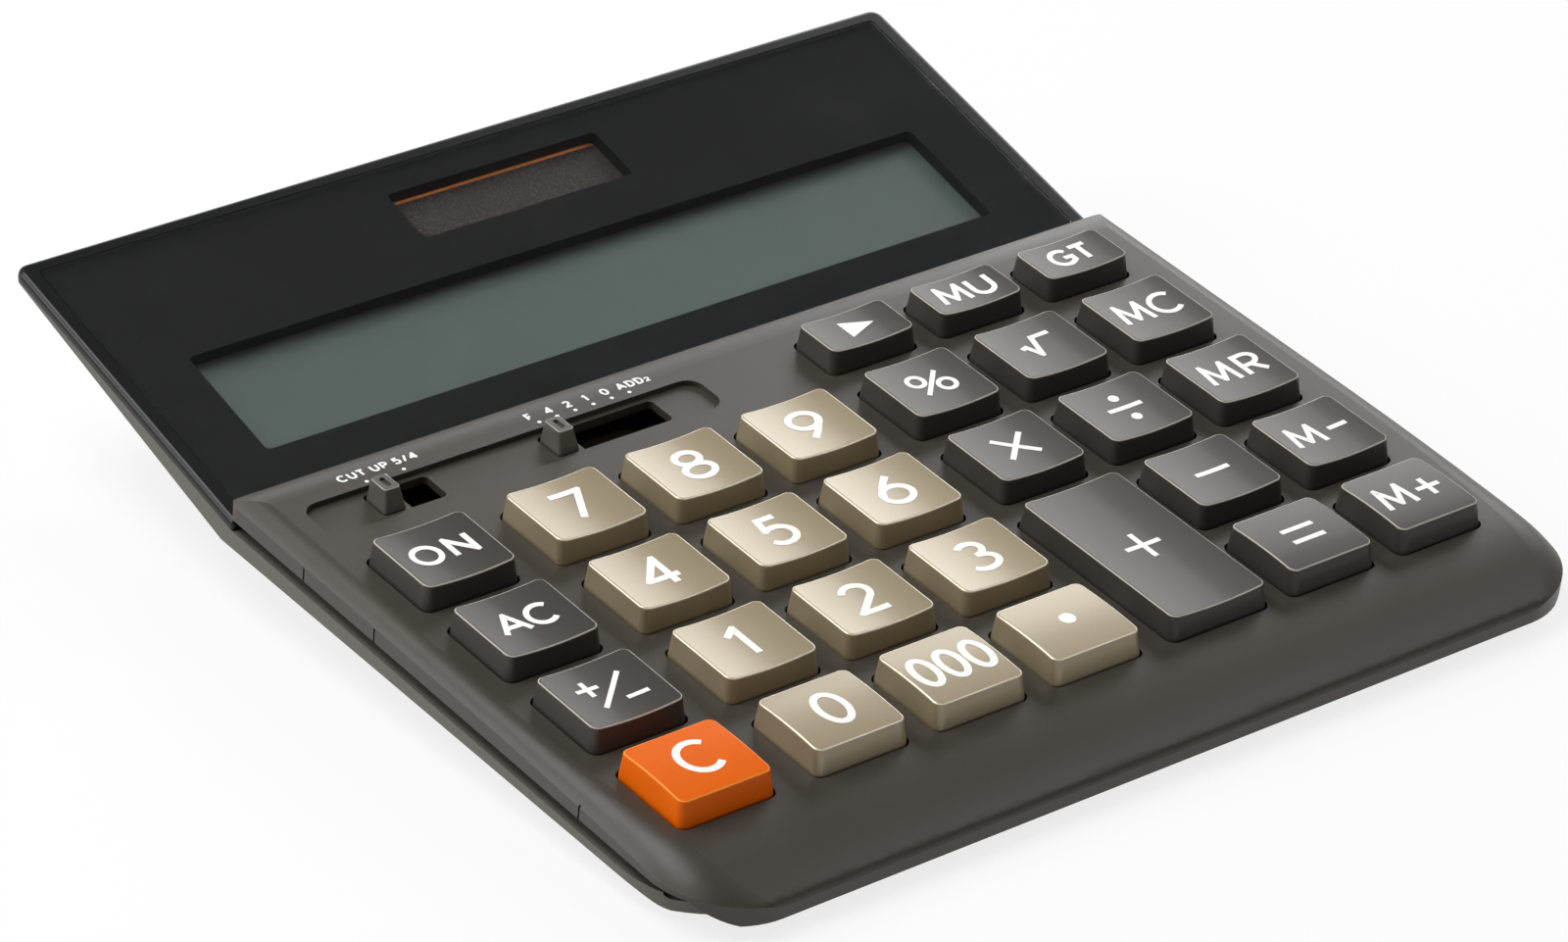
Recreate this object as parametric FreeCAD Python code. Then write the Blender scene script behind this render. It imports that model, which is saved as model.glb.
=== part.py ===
import FreeCAD, Part
import math
import os

# Desk calculator with a raised display wing, thirty keys and two sliding selectors.
# Millimetres. +X right, +Y to the back, +Z up. The origin is the middle of the footprint, on the table.

# Overall sizes
overall_width = 151.0
overall_depth = 158.3
overall_height = 28.5
display_length = 53.1          # along the slope, from the cover to the back edge
front_height = 8.4402          # keyboard plane above the table at the front edge, which sets its tilt
display_tilt = 16.0            # degrees

# Shells
wall = 1.6
cover_back = 29.6              # keyboard y of the cover's back edge
cover_front_radius = 12.0
cover_back_radius = 1.9
side_roll_width = 3.2
side_roll_drop = 1.6
roll_split = -25.0             # keyboard y where the side roll starts to widen
roll_overrun = 0.3             # the rolls run on past the outline before they are trimmed
roll_growth = 3.8
roll_corner_growth = 4.0
back_roll_width = 5.6
back_roll_drop = 1.65
apron_length = 15.2
apron_drop = 4.0
lip_radius = 1.4
lip_slope = 80.0               # degrees, where the lip meets the upright front face
lip_depth = 6.5                # lip's lower edge below the keyboard plane
skirt_depth = 3.8              # side skirt's lower edge below the keyboard plane
skirt_rise_length = 6.2        # where the lip runs up into the side skirt
fit_gap = 0.3                  # between shells that plug together
shadow_gap_depth = 5.6         # top of the case wall below the keyboard plane
side_notch_places = (11.6, -4.6, -49.5)
side_notch_width = 0.35
side_notch_depth = 0.3

# Display wing
hinge_y = 30.9                 # keyboard y where the display plane meets the cover
display_drop = 3.7             # display plane below the keyboard plane at the hinge
display_back_radius = 1.9
display_rim = 1.35             # thickness of the frame's rim over the case wall
frame_tongue = 3.0             # how far the frame runs under the cover
frame_depth = 2.9
frame_body_inset = 5.0         # the frame's deeper middle, in from its sides
frame_body_back = 5.5
frame_body_front = -0.4
frame_edge_round = 0.9
lens_side_margin = 2.5
lens_back_margin = 2.2
lens_front = 0.7
lens_thickness = 0.9
lens_gap = 0.1
window_side_margin = 12.5
window_front = 7.9
window_back = 28.0
window_radius = 0.8
solar_half_width = 18.2
solar_front = 36.0
solar_back = 46.0
solar_radius = 0.7

# Lower hull
bottom_gap = 1.5               # underside above the table, set by the feet
band_back_depth = 1.65         # depth of the wing's side band at its back edge
band_hinge_depth = 4.4
band_key_depth_back = 8.3      # depth of the side band under the keyboard, at the hinge
band_key_depth_front = 6.5
hull_flare = 0.84              # drop of the hull per unit of run in from the side
hull_knee = (3.8, 16.0)        # in from the back edge, up from the table
hull_floor_inset = 20.0        # flat underside's end, in from the back edge
hull_front_inset = 1.9
hull_front_radius = 16.0
hull_floor_front = 8.0
floor_edge_round = 2.0
tongue_wall = 1.2
tongue_top = 2.7

# Keys, on the keyboard plane
first_column = -61.7
column_pitch = 19.47
column_group_gap = 1.93        # extra space before the second and the fifth column
first_row = 0.0
row_pitch = 18.3
top_row = 16.7
key_width = 14.4
key_depth = 13.0
small_key_depth = 8.2
plus_width = 16.3
plus_left_shift = 0.55
key_height = 3.5
key_corner_radius = 1.2
key_side_draft = 0.3
key_back_draft = 0.25
key_front_draft = 0.7
key_dish = 0.42
key_crown = 0.28
key_edge_round = 0.3
key_gap = 0.35
key_wall = 1.2
key_ceiling = 1.4
flange_overlap = 0.5
flange_thickness = 0.8
flange_gap = 0.2
key_travel = 1.4
plunger_radius = 1.8
plunger_gap = 0.15

# Keypad and board
dome_height = 3.25
dome_base_radius = 3.4
small_dome_base_radius = 2.5
dome_top_radius = 1.7
dome_wall = 0.6
keypad_thickness = 0.6
keypad_clearance = 0.3
keypad_front_inset = 12.5
keypad_back = 9.0
keypad_margin = 1.5
board_thickness = 1.0
board_side_inset = 4.3
board_front_inset = 11.5
board_floor_gap = 0.1          # least space between the board's underside and the case floor
board_back = 24.0
board_corner = 3.0

# Selectors
selector_pitch = 3.03
decimal_stops = 6
rounding_stops = 3
decimal_rest_x = -29.75
rounding_rest_x = -58.2
recess_left = -69.7
recess_right = -4.6
recess_front = 13.6
recess_back = 21.5
recess_radius = 2.5
recess_depth = 0.8
recess_floor = 1.2
slot_front = 15.1
slot_back = 20.6
slot_radius = 0.8
slot_end_gap = 0.4
knob_gap = 0.35
knob_base_width = 3.5
knob_top_width = 2.5
knob_front_slope = 1.1
knob_back_slope = 0.15
knob_height = 2.2
knob_corner_radius = 0.5
knob_groove = (0.8, 2.2, 0.45)
shoe_half_length = 3.6
shoe_overlap = 0.9
shoe_thickness = 1.0
shoe_gap = 0.2
rail_width = 0.7
rail_gap = 0.3
wiper_half_width = 2.2
wiper_thickness = 0.25
wiper_length = 5.0
wiper_gap = 0.15

# Display inner pieces, depths below the display plane
seat_gap = 0.05
lcd_margin = 2.0
lcd_thickness = 1.7
reflector_thickness = 0.2
holder_wall = 2.3
holder_floor = 1.3
holder_clearance = 0.2
ear_x = 55.0
ear_size = (7.0, 4.4, 1.2)
solar_margin = 1.3
solar_thickness = 1.1
ribbon_half_width = 42.0
ribbon_thickness = 0.2
ribbon_bond = 2.8
lead_radius = 0.45
lead_bend = 1.6
lead_start_x = 14.0
lead_end_x = 50.0
lead_depth = 7.6
lead_board_y = 21.0

# Battery and parts on the board
cell_place = (44.0, 8.0)
cell_radius = 5.8
cell_height = 3.1
contact_thickness = 0.2
chip_place = (-22.0, 5.0)
chip_radius = 6.5
chip_height = 1.4
capacitor_place = (8.0, 13.0)
capacitor_radius = 2.5
capacitor_length = 8.0

# Fasteners
post_radius = 1.9
post_clearance = 0.35
board_screw_radius = 0.8
board_screw_head_radius = 1.6
board_screw_head = 1.1
board_screw_grip = 2.4
case_screw_radius = 1.0
case_screw_head_radius = 1.9
case_screw_head = 1.3
case_screw_grip = 3.0
front_screw_grip = 1.4
case_screw_shoulder = 1.6
case_screw_recess_gap = 0.3
case_boss_reach = 6.5
pilot_gap = 0.04
board_post_places = ((-51.0, -45.75), (-51.0, -9.15), (9.34, -9.15), (69.3, -9.15), (69.3, -45.75))
case_post_places = ((-51.0, -27.45), (69.3, -27.45))
front_post_x = 54.0
front_post_inset = 7.9
rear_post_inset = 14.5
rear_post_s = 41.0
rear_post_radius = 2.2

# Feet
foot_radius = 4.5
foot_recess = 0.6
foot_front_inset = (15.5, 17.0)
foot_rear_inset = (23.5, 31.0)
foot_round = 0.6

half_width = overall_width / 2
half_depth = overall_depth / 2
window_half_width = half_width - window_side_margin
board_half_width = half_width - board_side_inset
rear_post_x = half_width - rear_post_inset
big = 400.0
V = FreeCAD.Vector

# Both sloping planes share one hinge, so the keyboard's place follows from the display's back edge.
display_rad = math.radians(display_tilt)
edge_loss = frame_edge_round * (math.sin(display_rad) + math.cos(display_rad) - 1)
hinge_point = V(0, half_depth - display_length * math.cos(display_rad) - display_rim * math.sin(display_rad),
                overall_height - display_length * math.sin(display_rad) + edge_loss)
# The keyboard plane passes display_drop above the hinge and meets the front edge at front_height.
hinge_rise = hinge_point.z - front_height
hinge_run = hinge_point.y + half_depth
keyboard_rad = math.acos(-display_drop / math.hypot(hinge_rise, hinge_run)) - math.atan2(hinge_run, hinge_rise)
keyboard_tilt = math.degrees(keyboard_rad)
keyboard_along = V(0, math.cos(keyboard_rad), math.sin(keyboard_rad))
keyboard_normal = V(0, -math.sin(keyboard_rad), math.cos(keyboard_rad))
display_along = V(0, math.cos(display_rad), math.sin(display_rad))
display_normal = V(0, -math.sin(display_rad), math.cos(display_rad))
keyboard_point = hinge_point - keyboard_along * hinge_y + keyboard_normal * display_drop

# The lip's arc is tangent to the apron, and its foremost point sets the overall depth.
apron_radius = (apron_length ** 2 + apron_drop ** 2) / (2 * apron_drop)
lip_z = -apron_radius + math.sqrt((apron_radius - lip_radius) ** 2 - (apron_length - lip_radius) ** 2)
lip_run = -half_depth + lip_radius - keyboard_point.y + lip_z * math.sin(keyboard_rad)
lip_y = lip_run / math.cos(keyboard_rad)
cover_front = lip_y - lip_radius
keypad_front = cover_front + keypad_front_inset
front_post_places = tuple((side * front_post_x, cover_front + front_post_inset) for side in (-1, 1))


def placed(shape, point, angle):
    moved = shape.copy()
    moved.Placement = FreeCAD.Placement(point, FreeCAD.Rotation(V(1, 0, 0), angle)) * moved.Placement
    return moved


def on_keyboard(shape):
    return placed(shape, keyboard_point, keyboard_tilt)


def on_display(shape):
    return placed(shape, hinge_point, display_tilt)


def keyboard_yz(y, z):
    point = keyboard_point + keyboard_along * y + keyboard_normal * z
    return (point.y, point.z)


def display_yz(s, depth):
    point = hinge_point + display_along * s - display_normal * depth
    return (point.y, point.z)


def box(x0, x1, y0, y1, z0, z1):
    return Part.makeBox(x1 - x0, y1 - y0, z1 - z0, V(x0, y0, z0))


def rod(x, y, z0, z1, radius):
    return Part.makeCylinder(radius, z1 - z0, V(x, y, z0))


def rounded_wire(x0, x1, y0, y1, front_radius, back_radius, z):
    corners = ((x1, y0, front_radius, -90), (x1, y1, back_radius, 0),
               (x0, y1, back_radius, 90), (x0, y0, front_radius, 180))
    edges = []
    ends = []
    for x, y, radius, start in corners:
        cx = x - radius if x == x1 else x + radius
        cy = y - radius if y == y1 else y + radius
        spots = []
        for turn in (start, start + 45, start + 90):
            angle = math.radians(turn)
            spots.append(V(cx + radius * math.cos(angle), cy + radius * math.sin(angle), z))
        edges.append(Part.Arc(*spots).toShape())
        ends.append((spots[0], spots[2]))
    lines = []
    for index in range(4):
        lines.append(edges[index])
        a = ends[index][1]
        b = ends[(index + 1) % 4][0]
        if a.distanceToPoint(b) > 1e-6:
            lines.append(Part.makeLine(a, b))
    return Part.Wire(lines)


def rounded_prism(x0, x1, y0, y1, radius, z0, z1, back_radius=None):
    wire = rounded_wire(x0, x1, y0, y1, radius, radius if back_radius is None else back_radius, z0)
    return Part.Face(wire).extrude(V(0, 0, z1 - z0))


def profile_prism(edges, half):
    face = Part.Face(Part.Wire(edges))
    face.translate(V(-half, 0, 0))
    return face.extrude(V(2 * half, 0, 0))


def polygon_prism(points, x0, x1):
    spots = [V(x0, y, z) for y, z in points]
    return Part.Face(Part.makePolygon(spots + spots[:1])).extrude(V(x1 - x0, 0, 0))


def strip_points(points, thickness):
    # Both sides of a bent strip, with mitred corners.
    sides = ([], [])
    for index, (u, v) in enumerate(points):
        before = points[max(index - 1, 0)]
        after = points[min(index + 1, len(points) - 1)]
        here = (u, v)
        normals = []
        for a, b in ((before, here), (here, after)):
            length = math.hypot(b[0] - a[0], b[1] - a[1])
            if length > 1e-9:
                normals.append((-(b[1] - a[1]) / length, (b[0] - a[0]) / length))
        nu = sum(n[0] for n in normals) / len(normals)
        nv = sum(n[1] for n in normals) / len(normals)
        reach = thickness / 2 / (nu * nu + nv * nv)
        sides[0].append((u + nu * reach, v + nv * reach))
        sides[1].append((u - nu * reach, v - nv * reach))
    return sides[0] + sides[1][::-1]


def tube(points, bend, radius):
    # A round wire along straight runs joined by tangent arcs.
    edges = []
    start = points[0]
    for index in range(1, len(points) - 1):
        corner = points[index]
        to_before = (points[index - 1] - corner).normalize()
        to_after = (points[index + 1] - corner).normalize()
        half_angle = to_before.getAngle(to_after) / 2
        setback = bend / math.tan(half_angle)
        a = corner + to_before * setback
        b = corner + to_after * setback
        middle = (to_before + to_after).normalize()
        centre = corner + middle * (bend / math.sin(half_angle))
        edges.append(Part.makeLine(start, a))
        edges.append(Part.Arc(a, centre - middle * bend, b).toShape())
        start = b
    edges.append(Part.makeLine(start, points[-1]))
    first = (points[1] - points[0]).normalize()
    ring = Part.Wire([Part.makeCircle(radius, points[0], first)])
    return Part.Wire(edges).makePipeShell([ring], True, False)


def fused(shapes):
    whole = shapes[0]
    for shape in shapes[1:]:
        whole = whole.fuse(shape)
    return whole.removeSplitter()


def cut_all(shape, tools):
    for tool in tools:
        shape = shape.cut(tool)
    return shape


def save(name, shape):
    solids = shape.Solids
    out = solids[0] if len(solids) == 1 else Part.makeCompound(solids)
    out.exportStep(os.path.join("parts", name + ".step"))
    print(name, "solids", len(solids), "volume", round(shape.Volume, 1), "valid", shape.isValid())


# Depths below the keyboard plane, one stack from the cover to the board
flange_top = wall + flange_gap
flange_bottom = flange_top + flange_thickness
keypad_top = flange_bottom + key_travel + keypad_clearance
board_top = keypad_top + keypad_thickness
board_bottom = board_top + board_thickness
board_floor_y = ((bottom_gap + wall + board_floor_gap + board_bottom * math.cos(keyboard_rad) - keyboard_point.z)
                 / math.sin(keyboard_rad))
board_front = max(cover_front + board_front_inset, board_floor_y)
dome_top = keypad_top - dome_height
recess_bottom = recess_depth + recess_floor
shoe_top = recess_bottom + shoe_gap
shoe_bottom = shoe_top + shoe_thickness


def column_x(column):
    shift = column_group_gap * ((column >= 1) + (column >= 4))
    return first_column + column * column_pitch + shift


def row_y(row):
    return top_row if row == 0 else first_row - (row - 1) * row_pitch


# Node name, column, row. Row 0 is the short row at the back.
key_grid = (
    ("key_correct", 4, 0), ("key_mu", 5, 0), ("key_gt", 6, 0),
    ("key_on", 0, 1), ("key_7", 1, 1), ("key_8", 2, 1), ("key_9", 3, 1),
    ("key_percent", 4, 1), ("key_root", 5, 1), ("key_mc", 6, 1),
    ("key_ac", 0, 2), ("key_4", 1, 2), ("key_5", 2, 2), ("key_6", 3, 2),
    ("key_multiply", 4, 2), ("key_divide", 5, 2), ("key_mr", 6, 2),
    ("key_sign", 0, 3), ("key_1", 1, 3), ("key_2", 2, 3), ("key_3", 3, 3),
    ("key_minus", 5, 3), ("key_m_minus", 6, 3),
    ("key_c", 0, 4), ("key_0", 1, 4), ("key_000", 2, 4), ("key_point", 3, 4),
    ("key_equals", 5, 4), ("key_m_plus", 6, 4),
)


def key_sizes():
    # Name, centre x, centre y, top width, top depth, row
    sizes = []
    for name, column, row in key_grid:
        depth = small_key_depth if row == 0 else key_depth
        sizes.append((name, column_x(column), row_y(row), key_width, depth, row))
    tall_depth = key_depth + row_pitch
    tall_x = column_x(4) - plus_left_shift
    sizes.append(("key_plus", tall_x, (row_y(3) + row_y(4)) / 2, plus_width, tall_depth, 3))
    return sizes


keys = key_sizes()


def key_base(x, y, width, depth, grow):
    # Corners of the key's section at the keyboard plane, grown by a gap on every side.
    return (x - width / 2 - key_side_draft - grow, x + width / 2 + key_side_draft + grow,
            y - depth / 2 - key_front_draft - grow, y + depth / 2 + key_back_draft + grow)


def roll_width(y):
    # The side roll widens towards the front corners.
    share = min(max((roll_split - y) / (roll_split - cover_front), 0), 1)
    return side_roll_width + roll_growth * share ** 2 + roll_corner_growth * share ** 14


def cover_section(y, level):
    # Front outline of the cover at one place: flat top with a roll down to each side.
    width = roll_width(y)
    drop = width * side_roll_drop / side_roll_width
    radius = (width ** 2 + drop ** 2) / (2 * drop)
    flat = half_width - width
    run = width + roll_overrun
    edge = flat + run
    middle_x = flat + run / 2
    middle_z = level - radius + math.sqrt(radius ** 2 - (run / 2) ** 2)
    low = level - radius + math.sqrt(radius ** 2 - run ** 2)
    floor = -big / 10
    edges = [
        Part.makeLine(V(-flat, y, level), V(flat, y, level)),
        Part.Arc(V(flat, y, level), V(middle_x, y, middle_z), V(edge, y, low)).toShape(),
        Part.makeLine(V(edge, y, low), V(edge, y, floor)),
        Part.makeLine(V(edge, y, floor), V(-edge, y, floor)),
        Part.makeLine(V(-edge, y, floor), V(-edge, y, low)),
        Part.Arc(V(-edge, y, low), V(-middle_x, y, middle_z), V(-flat, y, level)).toShape(),
    ]
    return Part.Wire(edges)


def front_stations():
    # Places along the flat keyboard, the curved apron and the rounded lip, with the height of each.
    stations = []
    apron_start = cover_front + apron_length
    for step in range(7):
        stations.append((roll_split + (apron_start - roll_split) * step / 7, 0))
    slope = math.atan2(apron_start - lip_y, lip_z + apron_radius)
    for step in range(9):
        angle = slope * step / 8
        stations.append((apron_start - apron_radius * math.sin(angle), apron_radius * (math.cos(angle) - 1)))
    steepest = math.radians(lip_slope)
    for step in range(1, 9):
        angle = slope + (steepest - slope) * step / 8
        stations.append((lip_y - lip_radius * math.sin(angle), lip_z + lip_radius * math.cos(angle)))
    end_y, end_z = stations[-1]
    stations.append((end_y - roll_overrun / 4, end_z - roll_overrun / 4 * math.tan(steepest)))
    return stations


def cover_form(inset):
    # The cover's outside at inset 0, or the space inside it at the wall thickness.
    rear = Part.Face(cover_section(roll_split, -inset)).extrude(V(0, cover_back + 1 - roll_split, 0))
    flat_back = cover_back - back_roll_width
    roll_radius = (back_roll_width ** 2 + back_roll_drop ** 2) / (2 * back_roll_drop)
    run = back_roll_width + roll_overrun
    middle_z = -inset - roll_radius + math.sqrt(roll_radius ** 2 - (run / 2) ** 2)
    low = -inset - roll_radius + math.sqrt(roll_radius ** 2 - run ** 2)
    far = flat_back + run
    edges = [
        Part.Arc(V(0, flat_back, -inset), V(0, flat_back + run / 2, middle_z), V(0, far, low)).toShape(),
        Part.makePolygon([V(0, far, low), V(0, far, 1), V(0, flat_back, 1), V(0, flat_back, -inset)]),
    ]
    rear = rear.cut(profile_prism(edges, big / 2))
    front = Part.makeLoft([cover_section(y, z - inset) for y, z in front_stations()], True, False)
    outline = rounded_prism(-half_width + inset, half_width - inset, cover_front + inset, cover_back - inset,
                            cover_front_radius - inset, -big / 10, big / 10, max(cover_back_radius - inset, 0.3))
    shape = rear.fuse(front).common(outline)
    if inset > 0:
        return shape
    # The lower edge: level along the sides, then down to the lip round the front corners.
    rise_end = cover_front + skirt_rise_length
    hem = [(cover_back + 5, -skirt_depth), (rise_end, -skirt_depth), (cover_front + lip_radius, -lip_depth),
           (cover_front - 5, -lip_depth), (cover_front - 5, -big / 5), (cover_back + 5, -big / 5)]
    return shape.cut(polygon_prism(hem, -big / 2, big / 2)).removeSplitter()


def post(x, y, top, bottom, radius):
    return rod(x, y, -bottom, -top, radius)


def selector_slot(rest_x, stops):
    reach = knob_base_width / 2 + slot_end_gap
    left = rest_x - reach
    right = rest_x + (stops - 1) * selector_pitch + reach
    return left, right


selectors = (("decimal", decimal_rest_x, decimal_stops), ("rounding", rounding_rest_x, rounding_stops))


def make_top_cover():
    shell = cover_form(0).cut(cover_form(wall))
    # The recess hangs below the cover's own thickness, so its floor gets a pad.
    pad_margin = wall
    pad = rounded_prism(recess_left - pad_margin, recess_right + pad_margin, recess_front - pad_margin,
                        recess_back + pad_margin, recess_radius + pad_margin, -recess_bottom, -wall / 2)
    inside = cover_form(0)
    shell = shell.fuse(pad.common(inside))
    slots = [selector_slot(rest_x, stops) for label, rest_x, stops in selectors]
    for left, right in slots:
        for y0, y1 in shoe_rails():
            shell = shell.fuse(box(left - shoe_half_length, right + shoe_half_length, y0, y1,
                                   -shoe_bottom, -recess_bottom + 0.2))
    for x, y in board_post_places:
        shell = shell.fuse(post(x, y, wall / 2, board_top, post_radius))
    for x, y in case_post_places:
        shell = shell.fuse(post(x, y, wall / 2, case_boss_reach, post_radius))
    for x, y in front_post_places:
        shell = shell.fuse(post(x, y, wall / 2, front_boss_reach(), post_radius).common(inside))
    tools = [rounded_prism(recess_left, recess_right, recess_front, recess_back, recess_radius, -recess_depth, 1)]
    for left, right in slots:
        tools.append(rounded_prism(left, right, slot_front, slot_back, slot_radius, -big / 20, 1))
    for name, x, y, width, depth, row in keys:
        x0, x1, y0, y1 = key_base(x, y, width, depth, key_gap)
        tools.append(rounded_prism(x0, x1, y0, y1, key_corner_radius + key_gap, -big / 20, 1))
    pilot = board_screw_radius + pilot_gap
    for x, y in board_post_places:
        tools.append(post(x, y, board_top - board_screw_grip - pilot_gap, board_top + 1, pilot))
    pilot = case_screw_radius + pilot_gap
    for x, y in case_post_places:
        tools.append(post(x, y, case_boss_reach - case_screw_grip - pilot_gap, case_boss_reach + 1, pilot))
    for x, y in front_post_places:
        tools.append(post(x, y, front_boss_reach() - front_screw_grip - pilot_gap, front_boss_reach() + 1, pilot))
    for y in side_notch_places:
        for side in (-1, 1):
            face = side * half_width
            tools.append(box(face - side_notch_depth, face + side_notch_depth, y - side_notch_width / 2,
                             y + side_notch_width / 2, -skirt_depth - 1, -side_roll_drop - 0.15))
    return cut_all(shell, tools).removeSplitter()


def front_boss_reach():
    # The front bosses end just above the case floor, because the body is thin there.
    x, y = front_post_places[0]
    floor_top = bottom_gap + wall
    height = keyboard_point.z + y * math.sin(keyboard_rad) - floor_top
    return height / math.cos(keyboard_rad) - post_clearance - case_screw_shoulder / 2


def shoe_rails():
    front = slot_front - shoe_overlap - rail_gap
    back = slot_back + shoe_overlap + rail_gap
    return ((front - rail_width, front), (back, back + rail_width))


def make_key(x, y, width, depth, row):
    base = key_base(0, 0, width, depth, 0)
    foot = rounded_prism(*base, key_corner_radius, -flange_bottom, 0)
    above = key_height + key_dish + 0.4
    share = above / key_height
    lean = (key_side_draft * share, key_front_draft * share, key_back_draft * share)
    bottom_wire = rounded_wire(*base, key_corner_radius, key_corner_radius, 0)
    top_wire = rounded_wire(base[0] + lean[0], base[1] - lean[0], base[2] + lean[1], base[3] - lean[2],
                            key_corner_radius, key_corner_radius, above)
    cap = Part.makeLoft([bottom_wire, top_wire], True, True)
    if row == 4:
        # The front row is gently crowned.
        run = depth / 2 + key_front_draft
        end_z = key_height + key_crown - key_crown * (run / (depth / 2)) ** 2
        edges = [Part.Arc(V(0, -run, end_z), V(0, 0, key_height + key_crown), V(0, run, end_z)).toShape()]
        edges.append(Part.makePolygon([V(0, run, end_z), V(0, run, big), V(0, -run, big), V(0, -run, end_z)]))
        cap = cap.cut(profile_prism(edges, width))
    else:
        run = width / 2 + key_side_draft
        end_z = key_height - key_dish + key_dish * (run / (width / 2)) ** 2
        edges = [Part.Arc(V(-run, 0, end_z), V(0, 0, key_height - key_dish), V(run, 0, end_z)).toShape()]
        edges.append(Part.makePolygon([V(run, 0, end_z), V(run, 0, big), V(-run, 0, big), V(-run, 0, end_z)]))
        face = Part.Face(Part.Wire(edges))
        face.translate(V(0, -depth, 0))
        cap = cap.cut(face.extrude(V(0, 2 * depth, 0)))
    rim = [edge for edge in cap.Edges if edge.BoundBox.ZMin > key_height - key_dish - key_crown - 0.3]
    cap = cap.makeFillet(key_edge_round, rim)
    flange = key_base(0, 0, width, depth, key_gap + flange_overlap)
    plate = rounded_prism(*flange, key_corner_radius, -flange_bottom, -flange_top)
    ceiling = key_height - key_dish - key_ceiling
    inner = rounded_prism(base[0] + key_wall, base[1] - key_wall, base[2] + key_wall + key_front_draft / 2,
                          base[3] - key_wall, key_corner_radius / 2, -flange_bottom - 1, ceiling)
    shell = fused([foot, cap, plate]).cut(inner)
    plunger = rod(0, 0, -dome_top + plunger_gap, ceiling + 0.2, plunger_radius)
    key = fused([shell, plunger])
    key.translate(V(x, y, 0))
    return key


def make_keypad():
    x_edges = [column_x(0) - key_width / 2, column_x(6) + key_width / 2]
    sheet = box(x_edges[0] - keypad_margin, x_edges[1] + keypad_margin, keypad_front, keypad_back,
                -board_top, -keypad_top)
    tab_left = column_x(4) - key_width / 2 - keypad_margin
    tab_back = top_row + small_key_depth / 2 + keypad_margin
    sheet = sheet.fuse(box(tab_left, x_edges[1] + keypad_margin, keypad_back - 1, tab_back, -board_top, -keypad_top))
    hollows = []
    for name, x, y, width, depth, row in keys:
        base_radius = small_dome_base_radius if row == 0 else dome_base_radius
        base = V(x, y, -keypad_top)
        sheet = sheet.fuse(Part.makeCone(base_radius, dome_top_radius, dome_height, base))
        under = V(x, y, -board_top)
        hollow_height = keypad_thickness + dome_height - 2 * dome_wall
        hollows.append(Part.makeCone(base_radius - dome_wall, dome_top_radius - dome_wall, hollow_height, under))
    for x, y in board_post_places + case_post_places:
        hollows.append(post(x, y, 0, board_top + 1, post_radius + post_clearance))
    return cut_all(sheet.removeSplitter(), hollows)


def make_board():
    board = rounded_prism(-board_half_width, board_half_width, board_front, board_back, board_corner,
                          -board_bottom, -board_top)
    tools = []
    for x, y in case_post_places:
        tools.append(post(x, y, board_top - 1, board_bottom + 1, post_radius + post_clearance))
    for x, y in board_post_places:
        tools.append(post(x, y, board_top - 1, board_bottom + 1, board_screw_radius + 2 * pilot_gap))
    return cut_all(board, tools)


def screw(x, y, seat, grip, radius, head_radius, head):
    # The head's upper face sits at the seat depth and the shank points up.
    shank = rod(x, y, -seat, -seat + grip, radius)
    cap = rod(x, y, -seat - head, -seat, head_radius)
    cross = max(radius * 0.35, 0.25)
    whole = shank.fuse(cap)
    for along, across in ((head_radius * 0.6, cross), (cross, head_radius * 0.6)):
        whole = whole.cut(box(x - along, x + along, y - across, y + across, -seat - head - 1, -seat - head / 2))
    return whole.removeSplitter()


def make_board_screws():
    grip = board_thickness + board_screw_grip
    return [screw(x, y, board_bottom, grip, board_screw_radius, board_screw_head_radius, board_screw_head)
            for x, y in board_post_places]


def case_post_reach(place):
    return front_boss_reach() if place in front_post_places else case_boss_reach


def make_case_screws():
    screws = []
    for place in case_post_places + front_post_places:
        reach = case_post_reach(place)
        grip = front_screw_grip if place in front_post_places else case_screw_grip
        seat = reach + case_screw_shoulder
        shape = screw(*place, seat, grip + case_screw_shoulder, case_screw_radius, case_screw_head_radius,
                      case_screw_head)
        screws.append(on_keyboard(shape))
    for side in (-1, 1):
        seat = rear_boss_reach() + case_screw_shoulder
        shape = screw(side * rear_post_x, rear_post_s, seat, case_screw_grip + case_screw_shoulder,
                      case_screw_radius, case_screw_head_radius, case_screw_head)
        screws.append(on_display(shape))
    return screws


def rear_boss_reach():
    return frame_depth + case_screw_grip / 2


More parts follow.
